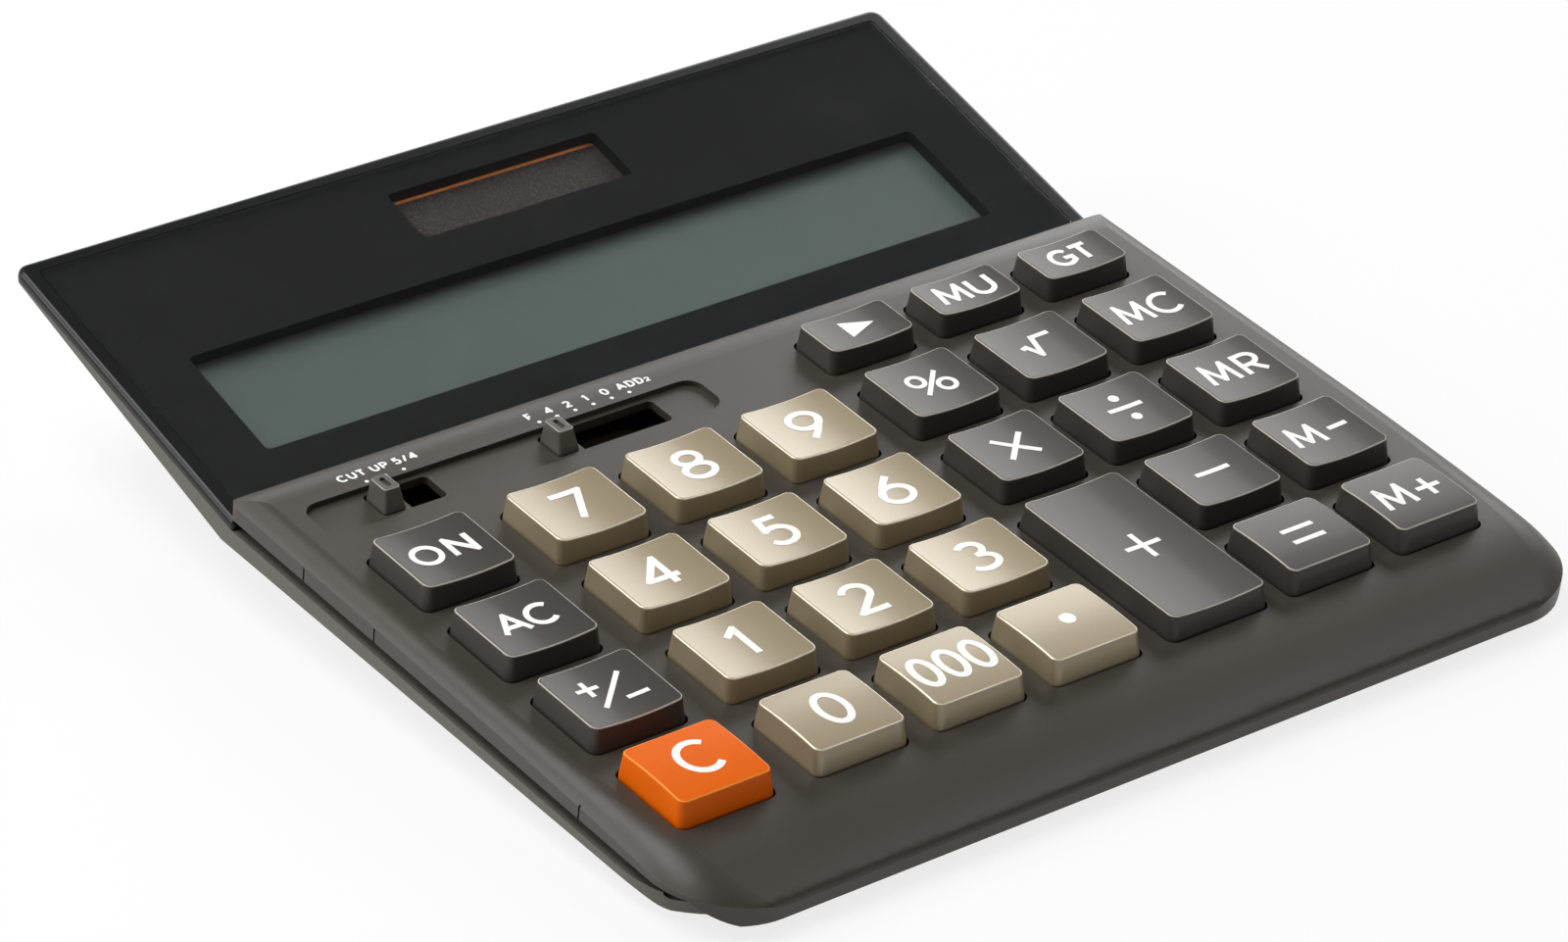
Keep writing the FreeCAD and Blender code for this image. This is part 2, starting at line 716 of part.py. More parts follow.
def make_display_frame():
    rim = rounded_prism(-half_width, half_width, -frame_tongue, display_length, 0.5, -display_rim, 0,
                        display_back_radius)
    back_edges = [edge for edge in rim.Edges
                  if edge.BoundBox.ZMin > -1e-6 and edge.BoundBox.YMax > -frame_tongue + 0.6]
    rim = rim.makeFillet(frame_edge_round, back_edges)
    body = rounded_prism(-half_width + frame_body_inset, half_width - frame_body_inset, frame_body_front,
                         display_length - frame_body_back, 0.5, -frame_depth, -display_rim / 2)
    frame = fused([rim, body])
    bosses = []
    for side in (-1, 1):
        bosses.append(post(side * rear_post_x, rear_post_s, frame_depth / 2, rear_boss_reach(), rear_post_radius))
    frame = fused([frame] + bosses)
    tools = [rounded_prism(-half_width + lens_side_margin, half_width - lens_side_margin, lens_front,
                           display_length - lens_back_margin, 0.8, -lens_thickness - seat_gap, 1)]
    tools.append(rounded_prism(-window_half_width, window_half_width, window_front, window_back, window_radius,
                               -big / 20, 1))
    tools.append(rounded_prism(-solar_half_width, solar_half_width, solar_front, solar_back, solar_radius,
                               -big / 20, 1))
    pilot = case_screw_radius + pilot_gap
    for side in (-1, 1):
        x = side * rear_post_x
        top = rear_boss_reach() - case_screw_grip - pilot_gap
        tools.append(post(x, rear_post_s, top, rear_boss_reach() + 1, pilot))
    for x, s in ear_places():
        tools.append(post(x, s, holder_screw_tip() - pilot_gap, frame_depth + 1, board_screw_radius + pilot_gap))
    return cut_all(frame, tools)


def holder_outline():
    return (-window_half_width - lcd_margin - holder_wall, window_half_width + lcd_margin + holder_wall,
            window_front - lcd_margin - holder_wall, window_back + lcd_margin + holder_wall)


def ear_places():
    x0, x1, s0, s1 = holder_outline()
    run = ear_size[1] / 2
    return tuple((side * ear_x, s) for side in (-1, 1) for s in (s0 - run, s1 + run))


def holder_screw_tip():
    return frame_depth - 1.15


def make_lens():
    side = half_width - lens_side_margin - lens_gap
    return rounded_prism(-side, side, lens_front + lens_gap, display_length - lens_back_margin - lens_gap, 0.7,
                         -lens_thickness, -seat_gap)


lcd_top = frame_depth + seat_gap
lcd_bottom = lcd_top + lcd_thickness
reflector_bottom = lcd_bottom + reflector_thickness
holder_bottom = reflector_bottom + seat_gap + holder_floor


def make_lcd_panel():
    reach = window_half_width + lcd_margin
    return box(-reach, reach, window_front - lcd_margin, window_back + lcd_margin, -lcd_bottom, -lcd_top)


def make_lcd_reflector():
    reach = window_half_width + lcd_margin
    front = window_front - lcd_margin + ribbon_bond + holder_clearance
    return box(-reach, reach, front, window_back + lcd_margin, -reflector_bottom, -lcd_bottom)


def make_lcd_holder():
    x0, x1, s0, s1 = holder_outline()
    tray = rounded_prism(x0, x1, s0, s1, 1.0, -holder_bottom, -frame_depth)
    ears = []
    for x, s in ear_places():
        ears.append(box(x - ear_size[0] / 2, x + ear_size[0] / 2, s - ear_size[1] / 2 - 0.5, s + ear_size[1] / 2 + 0.5,
                        -frame_depth - ear_size[2], -frame_depth))
    tray = fused([tray] + ears)
    c = holder_clearance
    w = holder_wall
    tools = [box(x0 + w - c, x1 - w + c, s0 + w - c, s1 - w + c, -holder_bottom + holder_floor, 0)]
    slot = ribbon_half_width + c
    tools.append(box(-slot, slot, s0 - 1, s0 + w, -reflector_bottom - c, -lcd_bottom + c))
    for x, s in ear_places():
        tools.append(post(x, s, 0, holder_bottom, board_screw_radius + 2 * pilot_gap))
    return cut_all(tray, tools)


def make_holder_screws():
    seat = frame_depth + ear_size[2]
    grip = seat - holder_screw_tip()
    return [on_display(screw(x, s, seat, grip, board_screw_radius, board_screw_head_radius, board_screw_head))
            for x, s in ear_places()]


def make_solar_cell():
    reach = solar_half_width + solar_margin
    return box(-reach, reach, solar_front - solar_margin, solar_back + solar_margin,
               -frame_depth - seat_gap - solar_thickness, -frame_depth - seat_gap)


def make_lcd_ribbon():
    depth = lcd_bottom + ribbon_thickness / 2
    bond_end = window_front - lcd_margin + ribbon_bond
    holder_front = holder_outline()[2]
    under_board = -board_bottom - ribbon_thickness / 2
    path = [display_yz(bond_end, depth), display_yz(holder_front - 0.8, depth),
            keyboard_yz(board_back + 1.5, under_board), keyboard_yz(board_back - 4.5, under_board)]
    return polygon_prism(strip_points(path, ribbon_thickness), -ribbon_half_width, ribbon_half_width)


def make_solar_lead(side):
    cell_under = frame_depth + seat_gap + solar_thickness
    lead_s = solar_front + 2
    start = V(side * lead_start_x, *display_yz(lead_s, cell_under))
    down = V(side * lead_start_x, *display_yz(lead_s, lead_depth))
    across = V(side * lead_end_x, *display_yz(lens_front, lead_depth))
    below = V(side * lead_end_x, *keyboard_yz(lead_board_y, -board_bottom - 3.6))
    end = V(side * lead_end_x, *keyboard_yz(lead_board_y, -board_bottom))
    return tube([start, down, across, below, end], lead_bend, lead_radius)


def make_button_cell():
    x, y = cell_place
    top = board_bottom + contact_thickness + seat_gap
    can = rod(x, y, -top - cell_height, -top - 0.3, cell_radius)
    button = rod(x, y, -top - cell_height / 2, -top, cell_radius * 0.8)
    return fused([can, button])


def make_cell_contacts():
    x, y = cell_place
    plate = rod(x, y, -board_bottom - contact_thickness, -board_bottom, cell_radius * 0.6)
    cell_under = board_bottom + contact_thickness + seat_gap + cell_height
    reach = cell_radius + 0.9
    depth = cell_under + seat_gap + contact_thickness / 2
    wide = contact_thickness / 2
    path = [(x - reach - 2.5, -board_bottom - wide), (x - reach, -board_bottom - wide), (x - reach, -depth),
            (x + cell_radius * 0.8, -depth)]
    spots = [V(u, y - cell_radius / 2, v) for u, v in strip_points(path, contact_thickness)]
    clip = Part.Face(Part.makePolygon(spots + spots[:1])).extrude(V(0, cell_radius, 0))
    return clip, plate


def make_chip_cap():
    x, y = chip_place
    radius = (chip_radius ** 2 + chip_height ** 2) / (2 * chip_height)
    ball = Part.makeSphere(radius, V(x, y, -board_bottom - chip_height + radius))
    return ball.common(rod(x, y, -board_bottom - chip_height - 1, -board_bottom, chip_radius + 1))


def make_capacitor():
    x, y = capacitor_place
    can = Part.makeCylinder(capacitor_radius, capacitor_length,
                            V(x - capacitor_length / 2, y, -board_bottom - seat_gap - capacitor_radius), V(1, 0, 0))
    ends = [edge for edge in can.Edges if edge.Curve.TypeId == "Part::GeomCircle"]
    return can.makeFillet(0.4, ends)


def make_knob(rest_x):
    y0 = slot_front + knob_gap
    y1 = slot_back - knob_gap
    half = knob_base_width / 2
    top_half = knob_top_width / 2
    floor = -recess_depth
    stem = rounded_prism(-half, half, y0, y1, knob_corner_radius, -shoe_top - 0.1, floor)
    wires = [rounded_wire(-half, half, y0, y1, knob_corner_radius, knob_corner_radius, floor),
             rounded_wire(-top_half, top_half, y0 + knob_front_slope, y1 - knob_back_slope, knob_corner_radius,
                          knob_corner_radius, knob_height)]
    grip = Part.makeLoft(wires, True, True)
    rim = [edge for edge in grip.Edges if edge.BoundBox.ZMin > knob_height - 1e-3]
    grip = grip.makeFillet(0.2, rim)
    shoe = rounded_prism(-shoe_half_length, shoe_half_length, slot_front - shoe_overlap, slot_back + shoe_overlap, 0.6,
                         -shoe_bottom, -shoe_top)
    knob = fused([stem, grip, shoe])
    middle = (y0 + knob_front_slope + y1 - knob_back_slope) / 2
    wide, long, deep = knob_groove
    groove = rounded_prism(-wide / 2, wide / 2, middle - long / 2, middle + long / 2, wide * 0.45,
                           knob_height - deep, knob_height + 1)
    knob = knob.cut(groove)
    knob.translate(V(rest_x, 0, 0))
    return knob


def make_wiper(rest_x):
    flat = -shoe_bottom - wiper_thickness / 2
    tip = -board_top + wiper_gap + wiper_thickness
    run = wiper_length / 2
    path = [(-run, flat), (run * 0.3, flat), (run * 0.8, tip), (run, tip + 0.35)]
    middle = (slot_front + slot_back) / 2
    spots = [V(u + rest_x, middle - wiper_half_width, v) for u, v in strip_points(path, wiper_thickness)]
    return Part.Face(Part.makePolygon(spots + spots[:1])).extrude(V(0, 2 * wiper_half_width, 0))


def side_wedge(side, point, along, inset):
    # Everything outside the sloping side of the hull, along one straight stretch of its side band.
    tilt = math.atan(hull_flare)
    shift = inset / math.cos(tilt)
    run = big / 4
    corners = ((2.0, 2.0 * hull_flare), (-run, -run * hull_flare), (2.0, -run * hull_flare))
    start = point - along * run
    spots = [V(side * (half_width + dx), start.y, start.z + dz + shift) for dx, dz in corners]
    return Part.Face(Part.makePolygon(spots + spots[:1])).extrude(along * (2 * run))


def hull_form(inset):
    # The case's outside at inset 0, or the space inside it at the wall thickness. The top is left open.
    back_low = display_yz(display_length, band_back_depth)
    floor = bottom_gap + inset
    front_y = keyboard_yz(cover_front + hull_front_inset, -lip_depth)[0]
    lift = keyboard_yz(cover_front + hull_front_inset, -lip_depth)[1]
    knee_y = half_depth - hull_knee[0]
    knee_z = hull_knee[1]
    lean = inset * 1.15
    outline = [(front_y + inset, lift + inset), (front_y + hull_floor_front, floor),
               (half_depth - hull_floor_inset - inset * 0.45, floor), (knee_y - lean, knee_z + inset * 0.45),
               (back_low[0] - lean, back_low[1]), (back_low[0] - lean, overall_height + 10),
               (front_y + inset, overall_height + 10)]
    shape = polygon_prism(outline, -half_width + inset, half_width - inset)
    hinge_low = keyboard_point + keyboard_along * hinge_y - keyboard_normal * band_key_depth_back
    front_low = keyboard_point + keyboard_along * cover_front - keyboard_normal * band_key_depth_front
    wing_low = hinge_point - display_normal * band_hinge_depth
    wing_back = hinge_point + display_along * display_length - display_normal * band_back_depth
    for side in (-1, 1):
        shape = shape.cut(side_wedge(side, hinge_low, (hinge_low - front_low).normalize(), inset))
        shape = shape.cut(side_wedge(side, wing_back, (wing_back - wing_low).normalize(), inset))
    return shape


def make_bottom_case():
    plan_front = keyboard_yz(cover_front + hull_front_inset, -lip_depth)[0]
    plan = rounded_prism(-half_width, half_width, plan_front, half_depth, hull_front_radius, -1,
                         overall_height + 20, display_back_radius)
    outside = hull_form(0)
    floor_edges = [edge for edge in outside.Edges if edge.BoundBox.ZMax < bottom_gap + 1e-3]
    outside = outside.makeFillet(floor_edge_round, floor_edges).common(plan)
    # Top edge: level with the frame's rim along the wing, and lower under the keyboard for the shadow gap.
    rim_seat = display_rim + seat_gap
    bend = display_rad - keyboard_rad
    meet_y = hinge_y - (shadow_gap_depth - display_drop - rim_seat / math.cos(bend)) / math.tan(bend)
    top_line = [keyboard_yz(cover_front - 20, -shadow_gap_depth), keyboard_yz(meet_y, -shadow_gap_depth),
                display_yz(display_length + 20, rim_seat)]
    above = [(top_line[2][0], overall_height + 40), (top_line[0][0], overall_height + 40)]
    outside = outside.cut(polygon_prism(top_line + above, -big / 4, big / 4))
    case = outside.cut(hull_form(wall).common(cavity_plan()))
    # A tongue inside the cover's skirt closes the shadow gap.
    inset = wall + fit_gap
    ring = rounded_prism(-half_width + inset, half_width - inset, cover_front + inset + wall, hinge_y - frame_tongue - 1,
                         cover_front_radius - inset, -shadow_gap_depth - 3, -tongue_top)
    hole = rounded_prism(-half_width + inset + tongue_wall, half_width - inset - tongue_wall,
                         cover_front + inset + wall + tongue_wall, hinge_y + 20, cover_front_radius - inset - tongue_wall,
                         -big / 10, big / 10)
    front_free = box(-big, big, -big, cover_front + hull_front_inset + hull_front_radius, -big, big)
    tongue = on_keyboard(ring.cut(hole).cut(front_free)).common(hull_form(wall / 2))
    case = case.fuse(tongue)
    posts = []
    tools = []
    for place in case_post_places + front_post_places:
        reach = case_post_reach(place)
        posts.append(on_keyboard(post(*place, reach + pilot_gap, reach + 30, case_screw_head_radius + 1.1)))
        tools.append(on_keyboard(post(*place, reach - 1, reach + 30, case_screw_radius + 3 * pilot_gap)))
        tools.append(on_keyboard(post(*place, reach + case_screw_shoulder, reach + 30,
                                      case_screw_head_radius + case_screw_recess_gap)))
    for side in (-1, 1):
        x = side * rear_post_x
        reach = rear_boss_reach()
        posts.append(on_display(post(x, rear_post_s, reach + pilot_gap, reach + 30, case_screw_head_radius + 1.1)))
        tools.append(on_display(post(x, rear_post_s, reach - 1, reach + 30, case_screw_radius + 3 * pilot_gap)))
        tools.append(on_display(post(x, rear_post_s, reach + case_screw_shoulder, reach + 30,
                                     case_screw_head_radius + case_screw_recess_gap)))
    for shape in posts:
        case = case.fuse(shape.common(outside))
    for x, y in foot_places():
        tools.append(rod(x, y, bottom_gap - 1, bottom_gap + foot_recess, foot_radius + 0.05))
    return cut_all(case, tools).removeSplitter()


def cavity_plan():
    return rounded_prism(-half_width + wall, half_width - wall, -big / 2, half_depth - wall, 1.0, -1,
                         overall_height + 40)


def foot_places():
    front = (half_width - foot_front_inset[0], -half_depth + foot_front_inset[1])
    rear = (half_width - foot_rear_inset[0], half_depth - foot_rear_inset[1])
    return tuple((side * x, y) for side in (-1, 1) for x, y in (front, rear))


def make_feet():
    feet = []
    for x, y in foot_places():
        foot = rod(x, y, 0, bottom_gap + foot_recess, foot_radius)
        low = [edge for edge in foot.Edges if edge.BoundBox.ZMax < 1e-6]
        feet.append(foot.makeFillet(foot_round, low))
    return feet


def main():
    os.makedirs("parts", exist_ok=True)
    save("top_cover", on_keyboard(make_top_cover()))
    save("bottom_case", make_bottom_case())
    save("display_frame", on_display(make_display_frame()))
    save("display_lens", on_display(make_lens()))
    save("lcd_panel", on_display(make_lcd_panel()))
    save("lcd_reflector", on_display(make_lcd_reflector()))
    save("lcd_holder", on_display(make_lcd_holder()))
    save("holder_screws", Part.makeCompound(make_holder_screws()))
    save("solar_cell", on_display(make_solar_cell()))
    save("lcd_ribbon", make_lcd_ribbon())
    save("solar_lead_positive", make_solar_lead(1))
    save("solar_lead_negative", make_solar_lead(-1))
    for name, x, y, width, depth, row in keys:
        save(name, on_keyboard(make_key(x, y, width, depth, row)))
    save("rubber_keypad", on_keyboard(make_keypad()))
    save("main_board", on_keyboard(make_board()))
    save("board_screws", on_keyboard(Part.makeCompound(make_board_screws())))
    save("case_screws", Part.makeCompound(make_case_screws()))
    save("chip_cap", on_keyboard(make_chip_cap()))
    save("buffer_capacitor", on_keyboard(make_capacitor()))
    save("button_cell", on_keyboard(make_button_cell()))
    clip, plate = make_cell_contacts()
    save("cell_contact_positive", on_keyboard(clip))
    save("cell_contact_negative", on_keyboard(plate))
    for label, rest_x, stops in selectors:
        save(label + "_knob", on_keyboard(make_knob(rest_x)))
        save(label + "_wiper", on_keyboard(make_wiper(rest_x)))
    save("rubber_feet", Part.makeCompound(make_feet()))
    print("key axis", [round(v, 6) for v in keyboard_normal], "keyboard point",
          [round(v, 4) for v in keyboard_point], "hinge point", [round(v, 4) for v in hinge_point])


main()
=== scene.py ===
import math

import bmesh
import bpy
from mathutils import Euler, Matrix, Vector
from mathutils.bvhtree import BVHTree


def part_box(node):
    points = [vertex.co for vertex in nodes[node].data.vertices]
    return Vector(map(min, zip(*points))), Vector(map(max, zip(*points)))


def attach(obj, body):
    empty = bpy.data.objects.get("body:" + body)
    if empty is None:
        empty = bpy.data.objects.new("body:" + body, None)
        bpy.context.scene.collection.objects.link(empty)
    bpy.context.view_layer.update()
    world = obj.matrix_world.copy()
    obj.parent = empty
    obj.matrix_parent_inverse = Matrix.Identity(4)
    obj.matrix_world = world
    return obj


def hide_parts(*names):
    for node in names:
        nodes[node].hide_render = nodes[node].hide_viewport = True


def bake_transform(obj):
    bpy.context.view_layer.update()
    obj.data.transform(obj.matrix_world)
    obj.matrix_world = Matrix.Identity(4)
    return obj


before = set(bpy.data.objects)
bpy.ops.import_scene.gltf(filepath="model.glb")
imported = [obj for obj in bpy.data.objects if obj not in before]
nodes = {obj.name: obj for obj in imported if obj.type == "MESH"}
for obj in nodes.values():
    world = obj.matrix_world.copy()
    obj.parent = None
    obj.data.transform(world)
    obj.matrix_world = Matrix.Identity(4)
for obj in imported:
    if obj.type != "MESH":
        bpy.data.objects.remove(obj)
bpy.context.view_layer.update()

mm = 0.001

# the two sloping planes of the object: a point on each in millimetres, and the slope
keyboard = {"origin": Vector((0, -3.37, 15.0697)), "tilt": math.radians(5)}
wing = {"origin": Vector((0, 27.7349, 14.0769)), "tilt": math.radians(16)}


def onPlane(plane, x, y, height=0.0):
    # a point given in millimetres on a sloping plane, in the shared frame
    c, s = math.cos(plane["tilt"]), math.sin(plane["tilt"])
    out = plane["origin"] + Vector((x, y * c - height * s, y * s + height * c))
    return out * mm


def planSpot(plane, point):
    # the way back: across, along and up on the plane, in millimetres
    offset = point / mm - plane["origin"]
    c, s = math.cos(plane["tilt"]), math.sin(plane["tilt"])
    return Vector((offset.x, offset.y * c + offset.z * s, offset.z * c - offset.y * s))


def planeNormal(plane):
    return Vector((0, -math.sin(plane["tilt"]), math.cos(plane["tilt"])))


def keyCentre(name):
    # across and along, in millimetres
    low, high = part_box(name)
    return planSpot(keyboard, (low + high) / 2).xy


# helpers for colours and node trees, where a term is a socket to link or a constant to set

def tint(red, green, blue):
    # screen values 0-255 to the linear colour that the shader wants
    def channel(value):
        share = value / 255
        if share <= 0.04045:
            return share / 12.92
        return ((share + 0.055) / 1.055) ** 2.4
    return channel(red), channel(green), channel(blue), 1.0


def addNode(tree, kind, at=(0, 0), **values):
    node = tree.nodes.new(kind)
    node.location = at
    for name, value in values.items():
        setattr(node, name, value)
    return node


def feed(tree, term, socket):
    if isinstance(term, bpy.types.NodeSocket):
        tree.links.new(term, socket)
    else:
        socket.default_value = term


def setInputs(node, values):
    for label, value in values.items():
        node.inputs[label].default_value = value


def addMath(tree, at, operation, *terms):
    node = addNode(tree, "ShaderNodeMath", at, operation=operation)
    for term, socket in zip(terms, node.inputs):
        feed(tree, term, socket)
    return node.outputs[0]


def addRange(tree, at, value, given, wanted=(0.0, 1.0), curve="SMOOTHSTEP"):
    node = addNode(tree, "ShaderNodeMapRange", at, interpolation_type=curve)
    labels = ("From Min", "From Max", "To Min", "To Max")
    setInputs(node, dict(zip(labels, (*given, *wanted))))
    feed(tree, value, node.inputs["Value"])
    return node.outputs["Result"]


def addMix(tree, at, share, first, second):
    node = addNode(tree, "ShaderNodeMix", at, data_type="RGBA")
    for term, label in ((share, "Factor"), (first, "A"), (second, "B")):
        feed(tree, term, node.inputs[label])
    return node.outputs["Result"]


def addNoise(tree, at, place, settings):
    node = addNode(tree, "ShaderNodeTexNoise", at)
    feed(tree, place, node.inputs["Vector"])
    for label, term in settings.items():
        feed(tree, term, node.inputs[label])
    return node.outputs["Fac"]


def addShaderMix(tree, at, share, first, second):
    node = addNode(tree, "ShaderNodeMixShader", at)
    for term, socket in zip((share, first, second), node.inputs):
        feed(tree, term, socket)
    return node.outputs["Shader"]


def newGroup(name, inputs, outputs):
    group = bpy.data.node_groups.new(name, "ShaderNodeTree")
    for label, kind, start in inputs:
        socket = group.interface.new_socket(label, in_out="INPUT", socket_type=kind)
        socket.default_value = start
    for label, kind in outputs:
        group.interface.new_socket(label, in_out="OUTPUT", socket_type=kind)
    given = addNode(group, "NodeGroupInput", (-900, 0)).outputs
    result = addNode(group, "NodeGroupOutput", (700, 0)).inputs
    return group, given, result


def newMaterial(name):
    material = bpy.data.materials.new(name)
    material.use_nodes = True
    tree = material.node_tree
    tree.nodes.clear()
    output = addNode(tree, "ShaderNodeOutputMaterial", (800, 0))
    shader = addNode(tree, "ShaderNodeBsdfPrincipled", (250, 0))
    tree.links.new(shader.outputs["BSDF"], output.inputs["Surface"])
    return material, tree, shader, output.inputs["Surface"]


def newPiece(name, mesh, material):
    data = bpy.data.meshes.new(name)
    mesh.to_mesh(data)
    mesh.free()
    data.materials.append(material)
    piece = bpy.data.objects.new(name, data)
    bpy.context.scene.collection.objects.link(piece)
    return piece


# moulded plastic: fine spark-eroded grain, with a slow drift of shade and gloss

mouldTexture = {
    "grain": {"Detail": 3.0, "Roughness": 0.6},
    "drift": {"Scale": 38.0, "Detail": 4.0},
    "middle": 0.5,
}


def buildMouldGrain():
    group, given, result = newGroup(
        "mouldGrain",
        [
            ("Colour", "NodeSocketColor", (0.1, 0.1, 0.1, 1)),
            ("Colour Drift", "NodeSocketFloat", 0.06),
            ("Roughness", "NodeSocketFloat", 0.4),
            ("Roughness Drift", "NodeSocketFloat", 0.06),
            ("Grain Scale", "NodeSocketFloat", 5000.0),
        ],
        [
            ("Colour", "NodeSocketColor"),
            ("Roughness", "NodeSocketFloat"),
            ("Height", "NodeSocketFloat"),
        ],
    )
    link = group.links.new
    place = addNode(group, "ShaderNodeTexCoord", (-900, -300)).outputs["Object"]
    grainSettings = {"Scale": given["Grain Scale"], **mouldTexture["grain"]}
    grain = addNoise(group, (-600, -300), place, grainSettings)
    drift = addNoise(group, (-600, 200), place, mouldTexture["drift"])
    # both textures as plus and minus about nothing
    grainSwing = addMath(group, (-380, -300), "SUBTRACT", grain, mouldTexture["middle"])
    driftSwing = addMath(group, (-380, 200), "SUBTRACT", drift, mouldTexture["middle"])
    swing = addMath(group, (-180, 0), "ADD", grainSwing, driftSwing)
    shade = addMath(group, (0, 200), "MULTIPLY_ADD", swing, given["Colour Drift"], 1.0)
    paint = addNode(group, "ShaderNodeVectorMath", (220, 200), operation="SCALE")
    link(given["Colour"], paint.inputs[0])
    link(shade, paint.inputs["Scale"])
    link(paint.outputs["Vector"], result["Colour"])
    rough = addMath(
        group, (220, -50), "MULTIPLY_ADD", swing, given["Roughness Drift"], given["Roughness"],
    )
    link(rough, result["Roughness"])
    link(grain, result["Height"])
    return group


mouldGrain = buildMouldGrain()

# painted highlight on the rounded top edges of keys and knobs, where the surface turns from the
# top to the sides:
# how far the normal agrees with the top's, where the sides end and where the top begins
edgeHighlightBand = {"sides": (0.45, 0.65), "top": (0.985, 0.93)}


# mask of the band of normals that gets the painted highlight
def buildEdgeHighlightMask():
    group, given, result = newGroup(
        "edgeHighlightMask",
        [("Axis", "NodeSocketVector", (0, 0, 1)), ("Strength", "NodeSocketFloat", 0.6)],
        [("Mask", "NodeSocketFloat")],
    )
    place = addNode(group, "ShaderNodeTexCoord", (-700, -200))
    lean = addNode(group, "ShaderNodeVectorMath", (-450, 0), operation="DOT_PRODUCT")
    group.links.new(place.outputs["Normal"], lean.inputs[0])
    group.links.new(given["Axis"], lean.inputs[1])
    offSides = addRange(group, (-200, 150), lean.outputs["Value"], edgeHighlightBand["sides"])
    offTop = addRange(group, (-200, -150), lean.outputs["Value"], edgeHighlightBand["top"])
    both = addMath(group, (50, 0), "MULTIPLY", offSides, offTop)
    scaled = addMath(group, (250, 0), "MULTIPLY", both, given["Strength"])
    group.links.new(scaled, result["Mask"])
    return group


edgeHighlightMask = buildEdgeHighlightMask()

# what a finish has unless it says otherwise
usualShine = {"specular": 0.5, "metallic": 0.0, "coat": 0.0, "coatRoughness": 0.2}


def plastic(name, finish):
    material, tree, shader, _ = newMaterial(name)
    shine = {**usualShine, **finish}
    grain = addNode(tree, "ShaderNodeGroup", (-250, 0), node_tree=mouldGrain)
    setInputs(grain, {
        "Colour": finish["colour"],
        "Colour Drift": finish["colourDrift"],
        "Roughness": finish["roughness"],
        "Roughness Drift": finish["roughnessDrift"],
        "Grain Scale": finish["grainScale"],
    })
    paint = grain.outputs["Colour"]
    # painted highlight: the rounded top edges are lightened towards the finish's edge colour, in
    # place of the lamps' glints on the fillets
    if "edge" in finish:
        mask = addNode(tree, "ShaderNodeGroup", (-250, 300), node_tree=edgeHighlightMask)
        setInputs(mask, {"Axis": planeNormal(keyboard), "Strength": finish["edgeHighlightStrength"]})
        paint = addMix(tree, (0, 200), mask.outputs["Mask"], paint, finish["edge"])
    bump = addNode(tree, "ShaderNodeBump", (0, -250))
    setInputs(bump, {"Strength": finish["bump"], "Distance": finish["depth"]})
    setInputs(shader, {
        "Specular IOR Level": shine["specular"],
        "Metallic": shine["metallic"],
        "Coat Weight": shine["coat"],
        "Coat Roughness": shine["coatRoughness"],
    })
    tree.links.new(paint, shader.inputs["Base Color"])
    tree.links.new(grain.outputs["Roughness"], shader.inputs["Roughness"])
    tree.links.new(grain.outputs["Height"], bump.inputs["Height"])
    tree.links.new(bump.outputs["Normal"], shader.inputs["Normal"])
    return material


def dress(material, *names):
    for name in names:
        mesh = nodes[name].data
        mesh.materials.clear()
        mesh.materials.append(material)


# keyboard cover

coverFinish = {
    "colour": tint(62, 57, 50),
    "colourDrift": 0.2,
    "roughness": 0.42,
    "roughnessDrift": 0.10,
    "grainScale": 3200.0,
    "bump": 0.22,
    "depth": 0.00006,
    "specular": 0.42,
}
dress(plastic("coverPlastic", coverFinish), "top_cover")

# lower case, a coarser grain that catches the light as fine specks
caseFinish = {
    "colour": tint(90, 88, 80),
    "colourDrift": 0.22,
    "roughness": 0.52,
    "roughnessDrift": 0.16,
    "grainScale": 2300.0,
    "bump": 0.5,
    "depth": 0.00010,
}
dress(plastic("casePlastic", caseFinish), "bottom_case")

# black shell of the display wing
wingFinish = {
    "colour": tint(15, 16, 16),
    "colourDrift": 0.10,
    "roughness": 0.30,
    "roughnessDrift": 0.06,
    "grainScale": 4200.0,
    "bump": 0.08,
    "depth": 0.00004,
    "specular": 0.3,
}
dress(plastic("wingPlastic", wingFinish), "display_frame")

# the wing's floor under the clear panel is a dead black, like a printed mask
maskFinish = {
    "colour": tint(9, 9, 10),
    "colourDrift": 0.10,
    "roughness": 0.55,
    "roughnessDrift": 0.06,
    "grainScale": 4200.0,
    "bump": 0.05,
    "depth": 0.00003,
    "specular": 0.12,
}
maskInset = 0.05 * mm


def maskUnderLens():
    # faces of the wing within the panel's outline get the mask's black
    mesh = nodes["display_frame"].data
    mesh.materials.append(plastic("maskBlack", maskFinish))
    low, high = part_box("display_lens")
    for face in mesh.polygons:
        spot = face.center
        inX = low.x + maskInset < spot.x < high.x - maskInset
        inY = low.y + maskInset < spot.y < high.y - maskInset
        face.material_index = 1 if inX and inY else 0


maskUnderLens()
print("housing finishes done")


# keys

darkKeyFinish = {
    "colour": tint(66, 62, 58),
    "colourDrift": 0.08,
    "roughness": 0.34,
    "roughnessDrift": 0.08,
    "grainScale": 5200.0,
    "bump": 0.10,
    "depth": 0.00004,
    "coat": 0.16,
    "coatRoughness": 0.1,
    "specular": 0.2,
    # edge colour and strength: a painted highlight on the rounded top edges
    "edge": tint(182, 175, 164),
    "edgeHighlightStrength": 1.0,
}
lightKeyFinish = {
    "colour": tint(157, 142, 113),
    "colourDrift": 0.06,
    "roughness": 0.31,
    "roughnessDrift": 0.08,
    "grainScale": 5200.0,
    "bump": 0.10,
    "depth": 0.00004,
    "coat": 0.35,
    "coatRoughness": 0.14,
    "specular": 0.7,
    "metallic": 0.22,
    # edge colour and strength: a painted highlight on the rounded top edges
    "edge": tint(232, 222, 200),
    "edgeHighlightStrength": 0.9,
}
